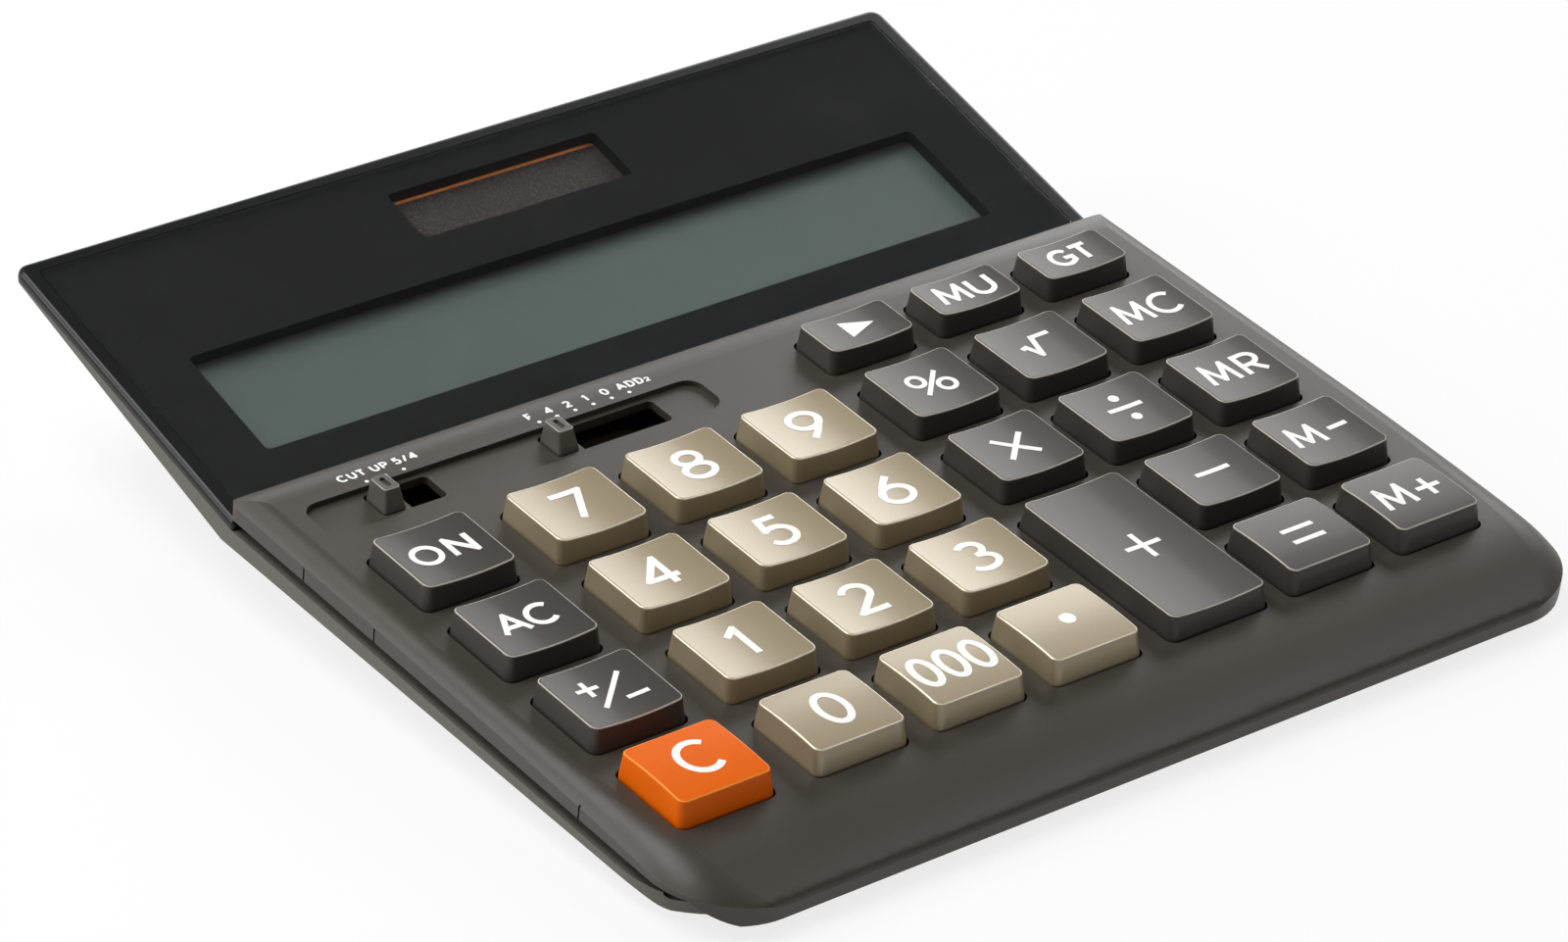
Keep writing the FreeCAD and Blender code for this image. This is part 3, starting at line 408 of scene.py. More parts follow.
clearKeyFinish = {
    "colour": tint(229, 100, 0),
    "colourDrift": 0.05,
    "roughness": 0.30,
    "roughnessDrift": 0.07,
    "grainScale": 5200.0,
    "bump": 0.08,
    "depth": 0.00004,
    "coat": 0.04,
    "coatRoughness": 0.14,
    "specular": 0.08,
    # edge colour and strength: a painted highlight on the rounded top edges
    "edge": tint(255, 160, 70),
    "edgeHighlightStrength": 0.8,
}
numberKeys = ["key_" + label for label in (*"0123456789", "000", "point")]
allKeys = sorted(name for name in nodes if name.startswith("key_"))
darkKeys = [name for name in allKeys if name not in numberKeys and name != "key_c"]
dress(plastic("darkKeyPlastic", darkKeyFinish), *darkKeys)
dress(plastic("lightKeyPlastic", lightKeyFinish), *numberKeys)
dress(plastic("clearKeyPlastic", clearKeyFinish), "key_c")

knobFinish = {
    "colour": tint(88, 84, 78),
    "colourDrift": 0.08,
    "roughness": 0.36,
    "roughnessDrift": 0.08,
    "grainScale": 4200.0,
    "bump": 0.12,
    "depth": 0.00004,
    # edge colour and strength: a painted highlight on the rounded top edges
    "edge": tint(176, 170, 160),
    "edgeHighlightStrength": 0.8,
}
dress(plastic("knobPlastic", knobFinish), "decimal_knob", "rounding_knob")
print("keys and knobs done:", len(allKeys), "keys")


# display: clear panel, liquid crystal glass and solar cell

lensFinish = {
    "tone": (0.93, 0.95, 0.95, 1),
    "ior": 1.49,
    "smudge": {"Scale": 60.0, "Detail": 6.0},
    "smudgeRange": (0.45, 0.8),
    "roughness": (0.02, 0.09),
}


def buildLens():
    material, tree, shader, surface = newMaterial("lensAcrylic")
    place = addNode(tree, "ShaderNodeTexCoord", (-700, -200)).outputs["Object"]
    smudge = addNoise(tree, (-500, -200), place, lensFinish["smudge"])
    rough = addRange(
        tree, (-250, -200), smudge, lensFinish["smudgeRange"], lensFinish["roughness"], "LINEAR",
    )
    tree.links.new(rough, shader.inputs["Roughness"])
    setInputs(shader, {
        "Base Color": lensFinish["tone"],
        "IOR": lensFinish["ior"],
        "Transmission Weight": 1.0,
    })
    # lamps reach what lies behind the panel
    shadow = addNode(tree, "ShaderNodeLightPath", (250, 400)).outputs["Is Shadow Ray"]
    through = addNode(tree, "ShaderNodeBsdfTransparent", (250, 200)).outputs["BSDF"]
    mixed = addShaderMix(tree, (450, 100), shadow, shader.outputs["BSDF"], through)
    tree.links.new(mixed, surface)
    return material


dress(buildLens(), "display_lens")

# how deep below the wing's plane both the crystal glass and the solar cell lie, mm
windowLevel = -2.95

glassFinish = {
    "colour": tint(70, 80, 76),
    "cloudColour": tint(62, 71, 68),
    "cloud": {"Scale": 22.0, "Detail": 3.0},
    # the shade colour and its span paint the shadow that falls on the back of the glass
    "paintedShadowColour": tint(30, 33, 32),
    "paintedShadowSpan": (23.6, 28.6),   # up the wing, mm
    "mottle": {"Scale": 260.0, "Detail": 2.0},
    "roughness": 0.28,
    "roughnessSwing": 0.2,
}


def buildDisplayGlass():
    material, tree, shader, _ = newMaterial("crystalGlass")
    place = addNode(tree, "ShaderNodeTexCoord", (-900, 0)).outputs["Object"]
    cloud = addNoise(tree, (-650, 100), place, glassFinish["cloud"])
    mottle = addNoise(tree, (-650, -200), place, glassFinish["mottle"])
    paint = addMix(
        tree, (-200, 100), cloud, glassFinish["cloudColour"], glassFinish["colour"],
    )
    # painted shadow: the glass is darkened towards the back of its window, where the window's
    # edge would shade it
    split = addNode(tree, "ShaderNodeSeparateXYZ", (-650, 400))
    tree.links.new(place, split.inputs[0])
    span = [onPlane(wing, 0, y, windowLevel).y for y in glassFinish["paintedShadowSpan"]]
    shadowRamp = addRange(tree, (-400, 400), split.outputs["Y"], span)
    withPaintedShadow = addMix(tree, (0, 200), shadowRamp, paint, glassFinish["paintedShadowColour"])
    rough = addMath(
        tree, (-200, -200), "MULTIPLY_ADD",
        mottle, glassFinish["roughnessSwing"], glassFinish["roughness"],
    )
    tree.links.new(withPaintedShadow, shader.inputs["Base Color"])
    tree.links.new(rough, shader.inputs["Roughness"])
    return material


dress(buildDisplayGlass(), "lcd_panel")

solarFinish = {
    "cell": tint(47, 41, 41),
    "film": tint(51, 44, 43),
    "line": tint(46, 39, 39),
    "edge": tint(205, 122, 62),
    "edgeFrom": 45.45,   # up the wing, mm
    "strips": 4,
    "halfWidth": 18.2,
    "lineShare": 0.03,   # of a strip
    "speck": {"Scale": 3000.0},
    "roughness": 0.22,
    "roughnessSwing": 0.1,
}


def buildSolarCell():
    material, tree, shader, _ = newMaterial("solarFilm")
    place = addNode(tree, "ShaderNodeTexCoord", (-1300, 0)).outputs["Object"]
    split = addNode(tree, "ShaderNodeSeparateXYZ", (-1100, 0))
    tree.links.new(place, split.inputs[0])
    # strips side by side, with a scribed line between them
    strips = solarFinish["strips"]
    perMetre = strips / (2 * solarFinish["halfWidth"] * mm)
    across = addMath(
        tree, (-900, 150), "MULTIPLY_ADD", split.outputs["X"], perMetre, strips / 2,
    )
    part = addMath(tree, (-720, 150), "FRACT", across)
    onLine = addMath(tree, (-560, 150), "LESS_THAN", part, solarFinish["lineShare"])
    # amber edge of the film along the back
    edgeStart = onPlane(wing, 0, solarFinish["edgeFrom"], windowLevel).y
    atBack = addMath(tree, (-560, -100), "GREATER_THAN", split.outputs["Y"], edgeStart)
    speck = addNoise(tree, (-900, -300), place, solarFinish["speck"])
    base = addMix(tree, (-380, 200), speck, solarFinish["cell"], solarFinish["film"])
    lined = addMix(tree, (-200, 150), onLine, base, solarFinish["line"])
    edged = addMix(tree, (0, 100), atBack, lined, solarFinish["edge"])
    rough = addMath(
        tree, (0, -200), "MULTIPLY_ADD",
        speck, solarFinish["roughnessSwing"], solarFinish["roughness"],
    )
    tree.links.new(edged, shader.inputs["Base Color"])
    tree.links.new(rough, shader.inputs["Roughness"])
    return material


dress(buildSolarCell(), "solar_cell")
print("display done")


# inside pieces and fasteners: who wears it, colour, roughness, metallic

innerTexture = {
    "colourDrift": 0.15,
    "roughnessDrift": 0.12,
    "grainScale": 2500.0,
    "bump": 0.15,
    "depth": 0.00005,
}
contacts = ["cell_contact_positive", "cell_contact_negative", "decimal_wiper", "rounding_wiper"]
screws = ["holder_screws", "board_screws", "case_screws"]
innerFinishes = {
    # the board's colour is darkened so that it reads dark through the selector slots, as the
    # shade inside them: partly the board's own colour, partly painted shade
    "boardLaminate": (["main_board"], tint(52, 42, 30), 0.45, 0.0),
    "chipResin": (["chip_cap"], tint(20, 20, 20), 0.35, 0.0),
    "padSilicone": (["rubber_keypad"], tint(150, 152, 150), 0.62, 0.0),
    "trayPlastic": (["lcd_holder"], tint(196, 194, 188), 0.5, 0.0),
    "silverFoil": (["lcd_reflector"], tint(205, 208, 205), 0.25, 1.0),
    "ribbonFilm": (["lcd_ribbon"], tint(150, 100, 46), 0.4, 0.0),
    "redLead": (["solar_lead_positive"], tint(168, 28, 24), 0.45, 0.0),
    "blackLead": (["solar_lead_negative"], tint(24, 24, 24), 0.45, 0.0),
    "capacitorSleeve": (["buffer_capacitor"], tint(30, 40, 70), 0.35, 0.0),
    "cellSteel": (["button_cell"], tint(196, 196, 192), 0.28, 1.0),
    "contactNickel": (contacts, tint(190, 182, 164), 0.3, 1.0),
    "screwSteel": (screws, tint(150, 150, 152), 0.32, 1.0),
    "footRubber": (["rubber_feet"], tint(30, 30, 30), 0.75, 0.0),
}
for finishName, (members, colour, roughness, metallic) in innerFinishes.items():
    finish = {"colour": colour, "roughness": roughness, "metallic": metallic, **innerTexture}
    dress(plastic(finishName, finish), *members)
print("inside pieces done")


# the rubber sheet is split here into the sheet and one dome for each key

domeSplit = {
    "rise": 3.25,    # dome above the sheet, mm
    "stub": 0.3,     # what stays with the sheet
    "crown": 1.2,    # solid top that goes down with the key
    "weld": 1e-7,    # metres
}


def halfOfPad(level, above):
    # the pad's mesh on one side of a cut along the keyboard
    half = bmesh.new()
    half.from_mesh(nodes["rubber_keypad"].data)
    bmesh.ops.remove_doubles(half, verts=half.verts, dist=domeSplit["weld"])
    bmesh.ops.bisect_plane(
        half, geom=half.verts[:] + half.edges[:] + half.faces[:], dist=domeSplit["weld"],
        plane_co=onPlane(keyboard, 0, 0, level), plane_no=planeNormal(keyboard),
        clear_inner=above, clear_outer=not above,
    )
    return half


def nearestKey(point, centres):
    spot = planSpot(keyboard, point).xy
    return min(centres, key=lambda name: (centres[name] - spot).length)


def closeRims(mesh, centres):
    # each dome was cut across its wall, which leaves an outer and an inner rim to join
    rims = {}
    for edge in mesh.edges:
        if edge.is_boundary:
            middle = (edge.verts[0].co + edge.verts[1].co) / 2
            rims.setdefault(nearestKey(middle, centres), []).append(edge)
    for edges in rims.values():
        bmesh.ops.bridge_loops(mesh, edges=edges)
    bmesh.ops.recalc_face_normals(mesh, faces=mesh.faces)
    return len(rims)


def padPiece(name, mesh):
    piece = newPiece(name, mesh, nodes["rubber_keypad"].data.materials[0])
    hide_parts("rubber_keypad")
    return piece


def splitPad():
    centres = {name: keyCentre(name) for name in allKeys}
    points = [vertex.co for vertex in nodes["rubber_keypad"].data.vertices]
    top = max(planSpot(keyboard, point).z for point in points)
    level = top - domeSplit["rise"] + domeSplit["stub"]
    sheet = halfOfPad(level, above=False)
    rimCount = closeRims(sheet, centres)
    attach(padPiece("keypad_sheet", sheet), "housing")
    domes = halfOfPad(level, above=True)
    owners = [nearestKey(vertex.co, centres) for vertex in domes.verts]
    for name in allKeys:
        dome = domes.copy()
        others = [vertex for vertex, owner in zip(dome.verts, owners) if owner != name]
        bmesh.ops.delete(dome, geom=others, context="VERTS")
        closeRims(dome, centres)
        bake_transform(padPiece("dome_" + name[4:], dome))
    domes.free()
    print("rubber domes split:", rimCount)


splitPad()


# printed legends: strokes of even width laid on the surface that carries them

arcDetail = {"least": 6, "degrees": 9}


def arc(cx, cy, rx, ry, start, end):
    count = max(arcDetail["least"], int(abs(end - start) / arcDetail["degrees"]))
    points = []
    for i in range(count + 1):
        a = math.radians(start + (end - start) * i / count)
        points.append((cx + rx * math.cos(a), cy + ry * math.sin(a)))
    return points


def turned(strokes):
    return [[(1 - x, 1 - y) for x, y in stroke] for stroke in strokes]


ring = [arc(0.5, 0.5, 0.5, 0.5, 90, 450)]
six = [
    arc(0.5, 0.31, 0.5, 0.31, 180, 540),
    [(0.74, 1.0), (0.5, 0.83), (0.28, 0.65), (0.1, 0.46), (0.0, 0.31)],
]
bowl = arc(0.5, 0.73, 0.5, 0.27, 90, -90)
letterP = [(0, 0), (0, 1), (0.5, 1)] + bowl[1:-1] + [(0.5, 0.46), (0, 0.46)]
bowlD = arc(0.42, 0.5, 0.58, 0.5, 80, -80)

# centre lines in a box of one by one
glyphs = {
    "0": ring,
    "O": ring,
    "1": [[(0, 0.76), (0.92, 1), (0.92, 0)]],
    "2": [arc(0.47, 0.71, 0.46, 0.29, 165, -38) + [(0, 0), (1, 0)]],
    "3": [
        arc(0.45, 0.765, 0.43, 0.235, 150, -90),
        arc(0.45, 0.265, 0.55, 0.265, 90, -150),
    ],
    "4": [[(0.72, 0), (0.72, 1), (0, 0.27), (1, 0.27)]],
    "5": [[(0.88, 1), (0.2, 1), (0.1, 0.57)] + arc(0.45, 0.32, 0.55, 0.32, 122, -150)],
    "6": six,
    "7": [[(0, 1), (1, 1), (0.36, 0)]],
    "8": [arc(0.5, 0.76, 0.41, 0.24, -90, 270), arc(0.5, 0.26, 0.5, 0.26, 90, 450)],
    "9": turned(six),
    "A": [[(0, 0), (0.5, 1), (1, 0)], [(0.17, 0.32), (0.83, 0.32)]],
    "C": [arc(0.55, 0.5, 0.55, 0.5, 46, 314)],
    "D": [[(0, 0), (0, 1), (0.42, 1)] + bowlD + [(0.42, 0), (0, 0)]],
    "F": [[(0, 0), (0, 1), (1, 1)], [(0, 0.5), (0.85, 0.5)]],
    "G": [arc(0.53, 0.5, 0.53, 0.5, 46, 305) + [(1.0, 0.2), (1.0, 0.46), (0.6, 0.46)]],
    "M": [[(0, 0), (0.12, 1), (0.5, 0.16), (0.88, 1), (1, 0)]],
    "N": [[(0, 0), (0, 1), (1, 0), (1, 1)]],
    "P": [letterP],
    "R": [letterP, [(0.48, 0.46), (1, 0)]],
    "T": [[(0, 1), (1, 1)], [(0.5, 1), (0.5, 0)]],
    "U": [[(0, 1), (0, 0.38)] + arc(0.5, 0.38, 0.5, 0.38, 180, 360) + [(1, 1)]],
    "+": [[(0, 0.5), (1, 0.5)], [(0.5, 0), (0.5, 1)]],
    "-": [[(0, 0.5), (1, 0.5)]],
    "=": [[(0, 1), (1, 1)], [(0, 0), (1, 0)]],
    "x": [[(0, 0), (1, 1)], [(0, 1), (1, 0)]],
    "/": [[(0, 0), (1, 1)]],
    "%": [
        [(0.14, 0), (0.86, 1)],
        arc(0.2, 0.74, 0.2, 0.26, 90, 450),
        arc(0.8, 0.26, 0.2, 0.26, 90, 450),
    ],
    "root": [[(0, 0.5), (0.15, 0.57), (0.32, 0), (0.52, 1), (1, 1)]],
}

inkFinish = {
    "colour": tint(246, 246, 243),
    "colourDrift": 0.03,
    "roughness": 0.5,
    "roughnessDrift": 0.08,
    "grainScale": 3000.0,
    "bump": 0.05,
    "depth": 0.00003,
}
whiteInk = plastic("whiteInk", inkFinish)

# lengths in mm; strokes that cross lie at slightly different heights
printing = {
    "lift": 0.035,
    "liftStep": 0.003,
    "liftSteps": 5,
    "root": 0.05,
    "step": 0.55,
    "castFrom": 30.0,
    "dotSides": 24,
    "softTurn": 0.35,      # radians; a sharper corner gets its outside cut flat
    "cornerCut": 0.75,     # shares of half the stroke's width
    "innerReach": 2.2,
    "samePoint": 1e-6,
    "weld": 1e-8,          # metres
}


def divided(points):
    # long straight runs get more points, so that the print follows a dished key
    out = [points[0]]
    for a, b in zip(points, points[1:]):
        count = max(1, int(math.ceil((b - a).length / printing["step"])))
        for i in range(1, count + 1):
            out.append(a.lerp(b, i / count))
    return out


def stations(points, width):
    # pairs of left and right points along a stroke, with flat-cut outer corners
    half = width / 2
    pairs = []
    closed = (points[0] - points[-1]).length < printing["samePoint"]
    if closed:
        points = points[:-1]
    total = len(points)
    for i, here in enumerate(points):
        before = points[i - 1] if i or closed else None
        after = points[(i + 1) % total] if i < total - 1 or closed else None
        dirIn = (here - before).normalized() if before else (after - here).normalized()
        dirOut = (after - here).normalized() if after else dirIn
        sideIn = Vector((-dirIn.y, dirIn.x))
        sideOut = Vector((-dirOut.y, dirOut.x))
        between = (sideIn + sideOut).normalized()
        turn = math.atan2(dirIn.cross(dirOut), dirIn.dot(dirOut))
        mitre = half / math.cos(turn / 2)
        if abs(turn) < printing["softTurn"]:
            pairs.append((here + between * mitre, here - between * mitre))
            continue
        inner = between * min(mitre, printing["innerReach"] * half)
        cut = min(math.tan(abs(turn) / 2) * half, printing["cornerCut"] * half)
        if turn > 0:
            pairs.append((here + inner, here - sideIn * half + dirIn * cut))
            pairs.append((here + inner, here - sideOut * half - dirOut * cut))
        else:
            pairs.append((here + sideIn * half + dirIn * cut, here - inner))
            pairs.append((here + sideOut * half - dirOut * cut, here - inner))
    if closed:
        pairs.append(pairs[0])
    return pairs, closed


class Print:
    # gathers closed slabs, each laid on the carrying surface along the plane's normal

    def __init__(self, plane, carrier):
        self.plane = plane
        self.normal = planeNormal(plane)
        self.mesh = bmesh.new()
        depsgraph = bpy.context.evaluated_depsgraph_get()
        self.ground = BVHTree.FromObject(nodes[carrier], depsgraph)
        self.layers = 0

    def level(self, x, y):
        start = onPlane(self.plane, x, y, printing["castFrom"])
        hit = self.ground.ray_cast(start, -self.normal)[0]
        return onPlane(self.plane, x, y) if hit is None else hit

    def pair(self, point, lift):
        spot = self.level(point.x, point.y)
        top = self.mesh.verts.new(spot + self.normal * lift * mm)
        low = self.mesh.verts.new(spot - self.normal * printing["root"] * mm)
        return top, low

    def nextLift(self):
        self.layers += 1
        return printing["lift"] + printing["liftStep"] * (self.layers % printing["liftSteps"])

    def stroke(self, points, width):
        lift = self.nextLift()
        pairs, closed = stations(points, width)
        columns = []
        last = len(pairs) - 1
        for i, (left, right) in enumerate(pairs):
            if closed and i == last:
                columns.append(columns[0])
                continue
            columns.append((self.pair(left, lift), self.pair(right, lift)))
        face = self.mesh.faces.new
        for (leftA, rightA), (leftB, rightB) in zip(columns, columns[1:]):
            face((leftA[0], rightA[0], rightB[0], leftB[0]))
            face((leftA[1], leftB[1], rightB[1], rightA[1]))
            face((leftA[0], leftB[0], leftB[1], leftA[1]))
            face((rightA[0], rightA[1], rightB[1], rightB[0]))
        if not closed:
            left, right = columns[0]
            face((left[0], left[1], right[1], right[0]))
            left, right = columns[-1]
            face((left[0], right[0], right[1], left[1]))

    def blot(self, outline):
        # a filled shape such as a dot or an arrow head
        lift = self.nextLift()
        centre = sum(outline, Vector((0, 0))) / len(outline)
        hub = self.pair(centre, lift)
        rim = [self.pair(point, lift) for point in outline]
        face = self.mesh.faces.new
        for a, b in zip(rim, rim[1:] + rim[:1]):
            face((hub[0], a[0], b[0]))
            face((hub[1], b[1], a[1]))
            face((a[0], a[1], b[1], b[0]))

    def dot(self, x, y, radius):
        sides = printing["dotSides"]
        angles = [math.radians(360 / sides * i) for i in range(sides)]
        self.blot([
            Vector((x + radius * math.cos(a), y + radius * math.sin(a))) for a in angles
        ])

    def glyph(self, name, cx, cy, wide, high, weight):
        # wide and high are the printed size, so the centre lines sit half a stroke inside
        inWide, inHigh = wide - weight, high - weight
        for strokePoints in glyphs[name]:
            placed = [
                Vector((cx + (u - 0.5) * inWide, cy + (v - 0.5) * inHigh))
                for u, v in strokePoints
            ]
            self.stroke(divided(placed), weight)

    def done(self, name, body):
        mesh, weld = self.mesh, printing["weld"]
        bmesh.ops.remove_doubles(mesh, verts=mesh.verts, dist=weld)
        bmesh.ops.dissolve_degenerate(mesh, dist=weld, edges=mesh.edges)
        bmesh.ops.recalc_face_normals(mesh, faces=mesh.faces)
        piece = newPiece(name, mesh, whiteInk)
        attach(piece, body)


# what each key says: glyph, offset across, offset along, width, height, in mm before scaling
legends = {
    "key_on": [("O", -2.75, 0, 5.0, 4.8), ("N", 2.75, 0, 4.0, 4.8)],
    "key_ac": [("A", -2.3, 0, 4.9, 5.0), ("C", 2.4, 0, 4.6, 5.0)],
    "key_sign": [
        ("+", -2.4, 1.3, 3.8, 3.8), ("/", 0.2, -0.1, 6.2, 6.2), ("-", 2.5, -2.3, 3.8, 0.8),
    ],
    "key_c": [("C", 0.3, 0.3, 5.8, 6.7)],
    "key_7": [("7", -0.1, 0, 5.2, 6.5)],
    "key_8": [("8", 0, 0, 5.1, 6.7)],
    "key_9": [("9", 0, 0, 5.2, 6.7)],
    "key_4": [("4", -0.1, 0, 5.4, 6.6)],
    "key_5": [("5", 0, 0, 4.7, 6.6)],
    "key_6": [("6", 0, 0, 5.2, 6.7)],
    "key_1": [("1", -0.5, 0, 2.9, 6.6)],
    "key_2": [("2", 0, 0, 5.0, 6.6)],
    "key_3": [("3", 0, 0, 4.9, 6.6)],
    "key_0": [("0", 0.1, 0, 4.7, 6.7)],
    "key_000": [("0", -4.2, 0, 4.1, 6.7), ("0", 0.1, 0, 4.1, 6.7), ("0", 4.4, 0, 4.1, 6.7)],
    "key_percent": [("%", 0, 0, 6.5, 5.2)],
    "key_root": [("root", 0, 0.2, 6.6, 4.8)],
    "key_mc": [("M", -2.4, 0, 5.2, 5.1), ("C", 2.9, 0, 4.6, 5.1)],
    "key_multiply": [("x", 0, 0, 5.5, 5.5)],
    "key_divide": [("-", 0, 0, 6.2, 0.9)],
    "key_mr": [("M", -2.2, 0, 5.2, 5.1), ("R", 3.1, 0, 3.6, 5.1)],
    "key_plus": [("+", -0.05, 0, 6.2, 6.2)],
    "key_minus": [("-", 0, 0, 6.2, 0.9)],
    "key_m_minus": [("M", -2.4, 0, 5.2, 4.8), ("-", 3.0, 0, 3.8, 0.9)],
    "key_equals": [("=", 0, -0.2, 5.9, 3.3)],
    "key_m_plus": [("M", -2.5, 0, 5.2, 5.1), ("+", 2.9, -0.2, 4.5, 4.5)],
    "key_mu": [("M", -2.2, 0, 5.0, 4.5), ("U", 2.7, 0, 3.8, 4.5)],
    "key_gt": [("G", -1.8, 0, 4.4, 4.5), ("T", 2.2, 0, 3.6, 4.5)],
}
# dots as offset across, offset along and radius
legendDots = {
    "key_point": [(0.2, 0.2, 1.1)],
    "key_divide": [(0, 2.35, 0.75), (0, -2.35, 0.75)],
}
legendArrow = {"left": -2.0, "right": 3.0, "half": 2.0}
legendWeight = {"letter": 0.83, "number": 1.03, "fine": 0.72}
legendScale = {"usual": 1.07, "key_000": 1.0, "key_on": 0.97, "key_ac": 0.97, "key_gt": 0.98}


def weightOf(name):
    if name in ("key_percent", "key_sign"):
        return legendWeight["fine"]
    return legendWeight["number" if name in numberKeys or name == "key_c" else "letter"]


def printLegend(name):
    cx, cy = keyCentre(name)
    grow = legendScale.get(name, legendScale["usual"])
    sheet = Print(keyboard, name)
    for glyphName, dx, dy, wide, high in legends.get(name, []):
        spot = (cx + dx * grow, cy + dy * grow)
        sheet.glyph(glyphName, *spot, wide * grow, high * grow, weightOf(name))
    for dx, dy, radius in legendDots.get(name, []):
        sheet.dot(cx + dx * grow, cy + dy * grow, radius * grow)
    if name == "key_correct":
        sheet.blot([
            Vector((cx + legendArrow["left"], cy - legendArrow["half"])),
            Vector((cx + legendArrow["right"], cy)),
            Vector((cx + legendArrow["left"], cy + legendArrow["half"])),
        ])
    sheet.done("legend_" + name[4:], name + "_body")


for name in allKeys:
    printLegend(name)
print("legends printed:", len(allKeys))

# selector scales on the back roll of the cover, in mm
scaleMarks = {
    "dotRadius": 0.3,
    "decimalDots": [-29.7, -26.7, -23.65, -20.6, -17.5, -14.5],
    "decimalRow": 22.7,
    "roundingDots": [-58.3, -55.3, -52.3],
    "roundingRow": 22.3,
    "labelRow": 24.5,
    "high": 1.7,
    "weight": 0.35,
}
# glyph, place across, width
scaleLabels = [
    ("C", -60.8, 1.45), ("U", -59.2, 1.3), ("T", -57.7, 1.3),
    ("U", -55.55, 1.3), ("P", -54.0, 1.15),
    ("5", -52.0, 1.15), ("/", -50.7, 0.95), ("4", -49.35, 1.3),
    ("F", -30.2, 1.0), ("4", -26.9, 1.3), ("2", -23.75, 1.15),
    ("1", -20.75, 0.7), ("0", -17.5, 1.25),
    ("A", -14.7, 1.5), ("D", -13.1, 1.25), ("D", -11.6, 1.25),
]
scaleSubscript = {"x": -10.4, "drop": 0.3, "wide": 0.85, "high": 1.1, "weight": 0.26}


def printScales():
    sheet = Print(keyboard, "top_cover")
    for selector in ("decimal", "rounding"):
        for x in scaleMarks[selector + "Dots"]:
            sheet.dot(x, scaleMarks[selector + "Row"], scaleMarks["dotRadius"])
    row = scaleMarks["labelRow"]
    for glyphName, x, wide in scaleLabels:
        sheet.glyph(glyphName, x, row, wide, scaleMarks["high"], scaleMarks["weight"])
    small = scaleSubscript
    low = row - small["drop"]
    sheet.glyph("2", small["x"], low, small["wide"], small["high"], small["weight"])
    sheet.done("selector_scales", "housing")


printScales()
print("selector scales printed")


# floor, light and camera

studio = {
    "floorSize": 6.0,
    "floorLevel": -0.0001,   # a hair below the feet
    "floorColour": (0.86, 0.86, 0.86, 1),
    "floorRoughness": 0.8,
    "floorSpecular": 0.2,
    "cameraGlow": 0.8,
    "sky": (1.0, 0.06),            # low down and overhead
    "skyRise": (0.25, 0.75),
    "frontShare": 0.35,
    "frontToBack": (-0.6, 0.4),
}


def buildFloor():
    half, level = studio["floorSize"] / 2, studio["floorLevel"]
    corners = [(-half, -half), (half, -half), (half, half), (-half, half)]
    data = bpy.data.meshes.new("floor")
    data.from_pydata([(x, y, level) for x, y in corners], [], [(0, 1, 2, 3)])
    floor = bpy.data.objects.new("floor", data)
    bpy.context.scene.collection.objects.link(floor)
    material, tree, shader, surface = newMaterial("floorWhite")
    setInputs(shader, {
        "Base Color": studio["floorColour"],
        "Roughness": studio["floorRoughness"],
        "Specular IOR Level": studio["floorSpecular"],
    })
    # white to the camera, in gloss and through the panel, with the shadow still showing
    path = addNode(tree, "ShaderNodeLightPath", (-300, 500)).outputs
    seen = addMath(tree, (-100, 500), "MAXIMUM", path["Is Camera Ray"], path["Is Glossy Ray"])
    seenAll = addMath(tree, (80, 500), "MAXIMUM", seen, path["Is Transmission Ray"])
    share = addMath(tree, (250, 500), "MULTIPLY", seenAll, studio["cameraGlow"])
    glow = addNode(tree, "ShaderNodeEmission", (250, 300)).outputs["Emission"]
    lit = addShaderMix(tree, (450, 200), share, shader.outputs["BSDF"], glow)
    # clear from below, so that the underside can be looked at
    below = addNode(tree, "ShaderNodeNewGeometry", (450, 500)).outputs["Backfacing"]
    clear = addNode(tree, "ShaderNodeBsdfTransparent", (450, 50)).outputs["BSDF"]
    tree.links.new(addShaderMix(tree, (620, 300), below, lit, clear), surface)
    data.materials.append(material)


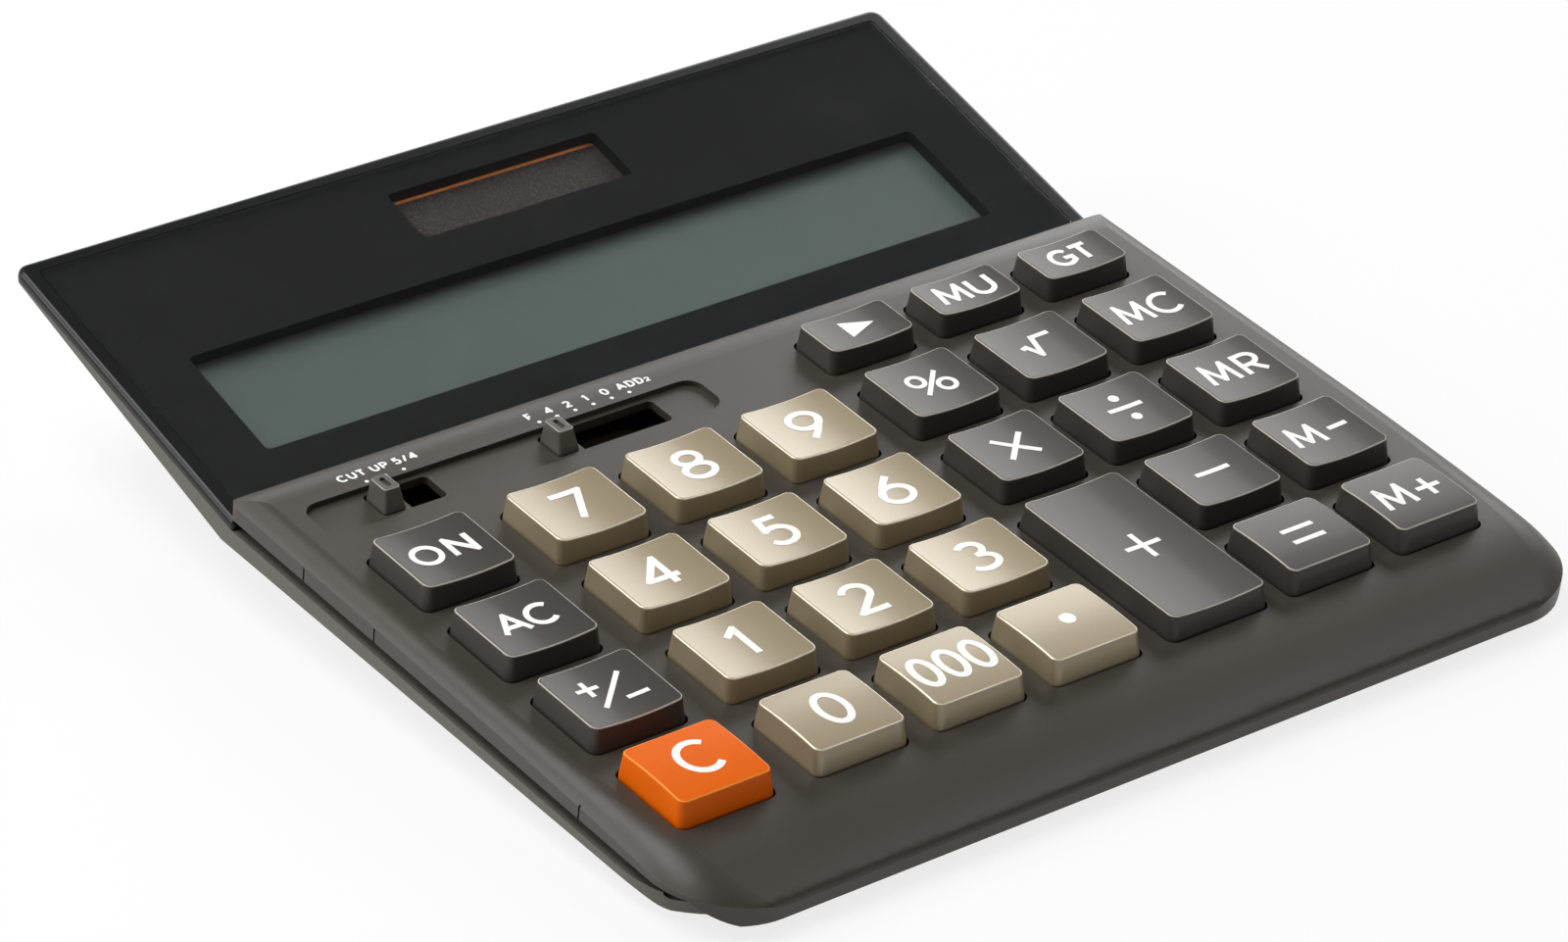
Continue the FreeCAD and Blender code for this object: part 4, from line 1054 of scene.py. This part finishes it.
def buildSky():
    # bright low down behind the object, darker overhead and on the camera's side
    world = bpy.data.worlds.new("studioSky")
    bpy.context.scene.world = world
    world.use_nodes = True
    tree = world.node_tree
    tree.nodes.clear()
    link = tree.links.new
    place = addNode(tree, "ShaderNodeTexCoord", (-900, 0))
    split = addNode(tree, "ShaderNodeSeparateXYZ", (-700, 0))
    link(place.outputs["Generated"], split.inputs[0])
    rise = addRange(
        tree, (-450, 150), split.outputs["Z"], studio["skyRise"], studio["sky"],
    )
    behind = addRange(
        tree, (-450, -150), split.outputs["Y"],
        studio["frontToBack"], (studio["frontShare"], 1.0),
    )
    level = addMath(tree, (-200, 0), "MULTIPLY", rise, behind)
    back = addNode(tree, "ShaderNodeBackground", (0, 0))
    output = addNode(tree, "ShaderNodeOutputWorld", (250, 0))
    link(level, back.inputs["Strength"])
    link(back.outputs["Background"], output.inputs["Surface"])


def buildLamp(name, place, aim, size, power):
    data = bpy.data.lights.new(name, "AREA")
    data.shape = "RECTANGLE"
    data.size, data.size_y = size
    data.energy = power
    lamp = bpy.data.objects.new(name, data)
    lamp.visible_camera = False
    bpy.context.scene.collection.objects.link(lamp)
    lamp.location = place
    lamp.rotation_euler = (Vector(aim) - Vector(place)).to_track_quat("-Z", "Y").to_euler()


# name, place, aim, size, watts
lamps = [
    ("topSoftbox", (-0.35, 0.25, 0.95), (0, 0, 0.01), (0.7, 0.5), 7.8),
    ("sideSoftbox", (-0.72, 0.52, 0.5), (0, 0, 0.01), (0.45, 0.45), 3.0),
    ("edgeSoftbox", (0.62, -0.33, 0.86), (0, 0, 0.01), (0.35, 0.35), 1.5),
    ("backStrip", (0.66, 0.98, 0.21), (0, 0, 0.02), (0.8, 0.25), 1.9),
    ("backSoftbox", (0.82, 0.52, 0.52), (0, 0, 0.01), (0.6, 0.45), 3.0),
]
buildFloor()
buildSky()
for lamp in lamps:
    buildLamp(*lamp)

view = {
    "place": (-0.48707, -0.60064, 0.43593),
    "turn": (1.065951, -0.033204, -0.660614),
    "lens": 148.652,
    "sensor": 36.0,
    "clipStart": 0.01,
}


def buildCamera():
    data = bpy.data.cameras.new("photoCamera")
    data.sensor_fit = "HORIZONTAL"
    data.sensor_width = view["sensor"]
    data.lens = view["lens"]
    data.clip_start = view["clipStart"]
    camera = bpy.data.objects.new("photoCamera", data)
    bpy.context.scene.collection.objects.link(camera)
    camera.location = view["place"]
    camera.rotation_euler = Euler(view["turn"], "XYZ")
    bpy.context.scene.camera = camera


buildCamera()
bpy.context.scene.view_settings.view_transform = "Standard"
print("studio set")
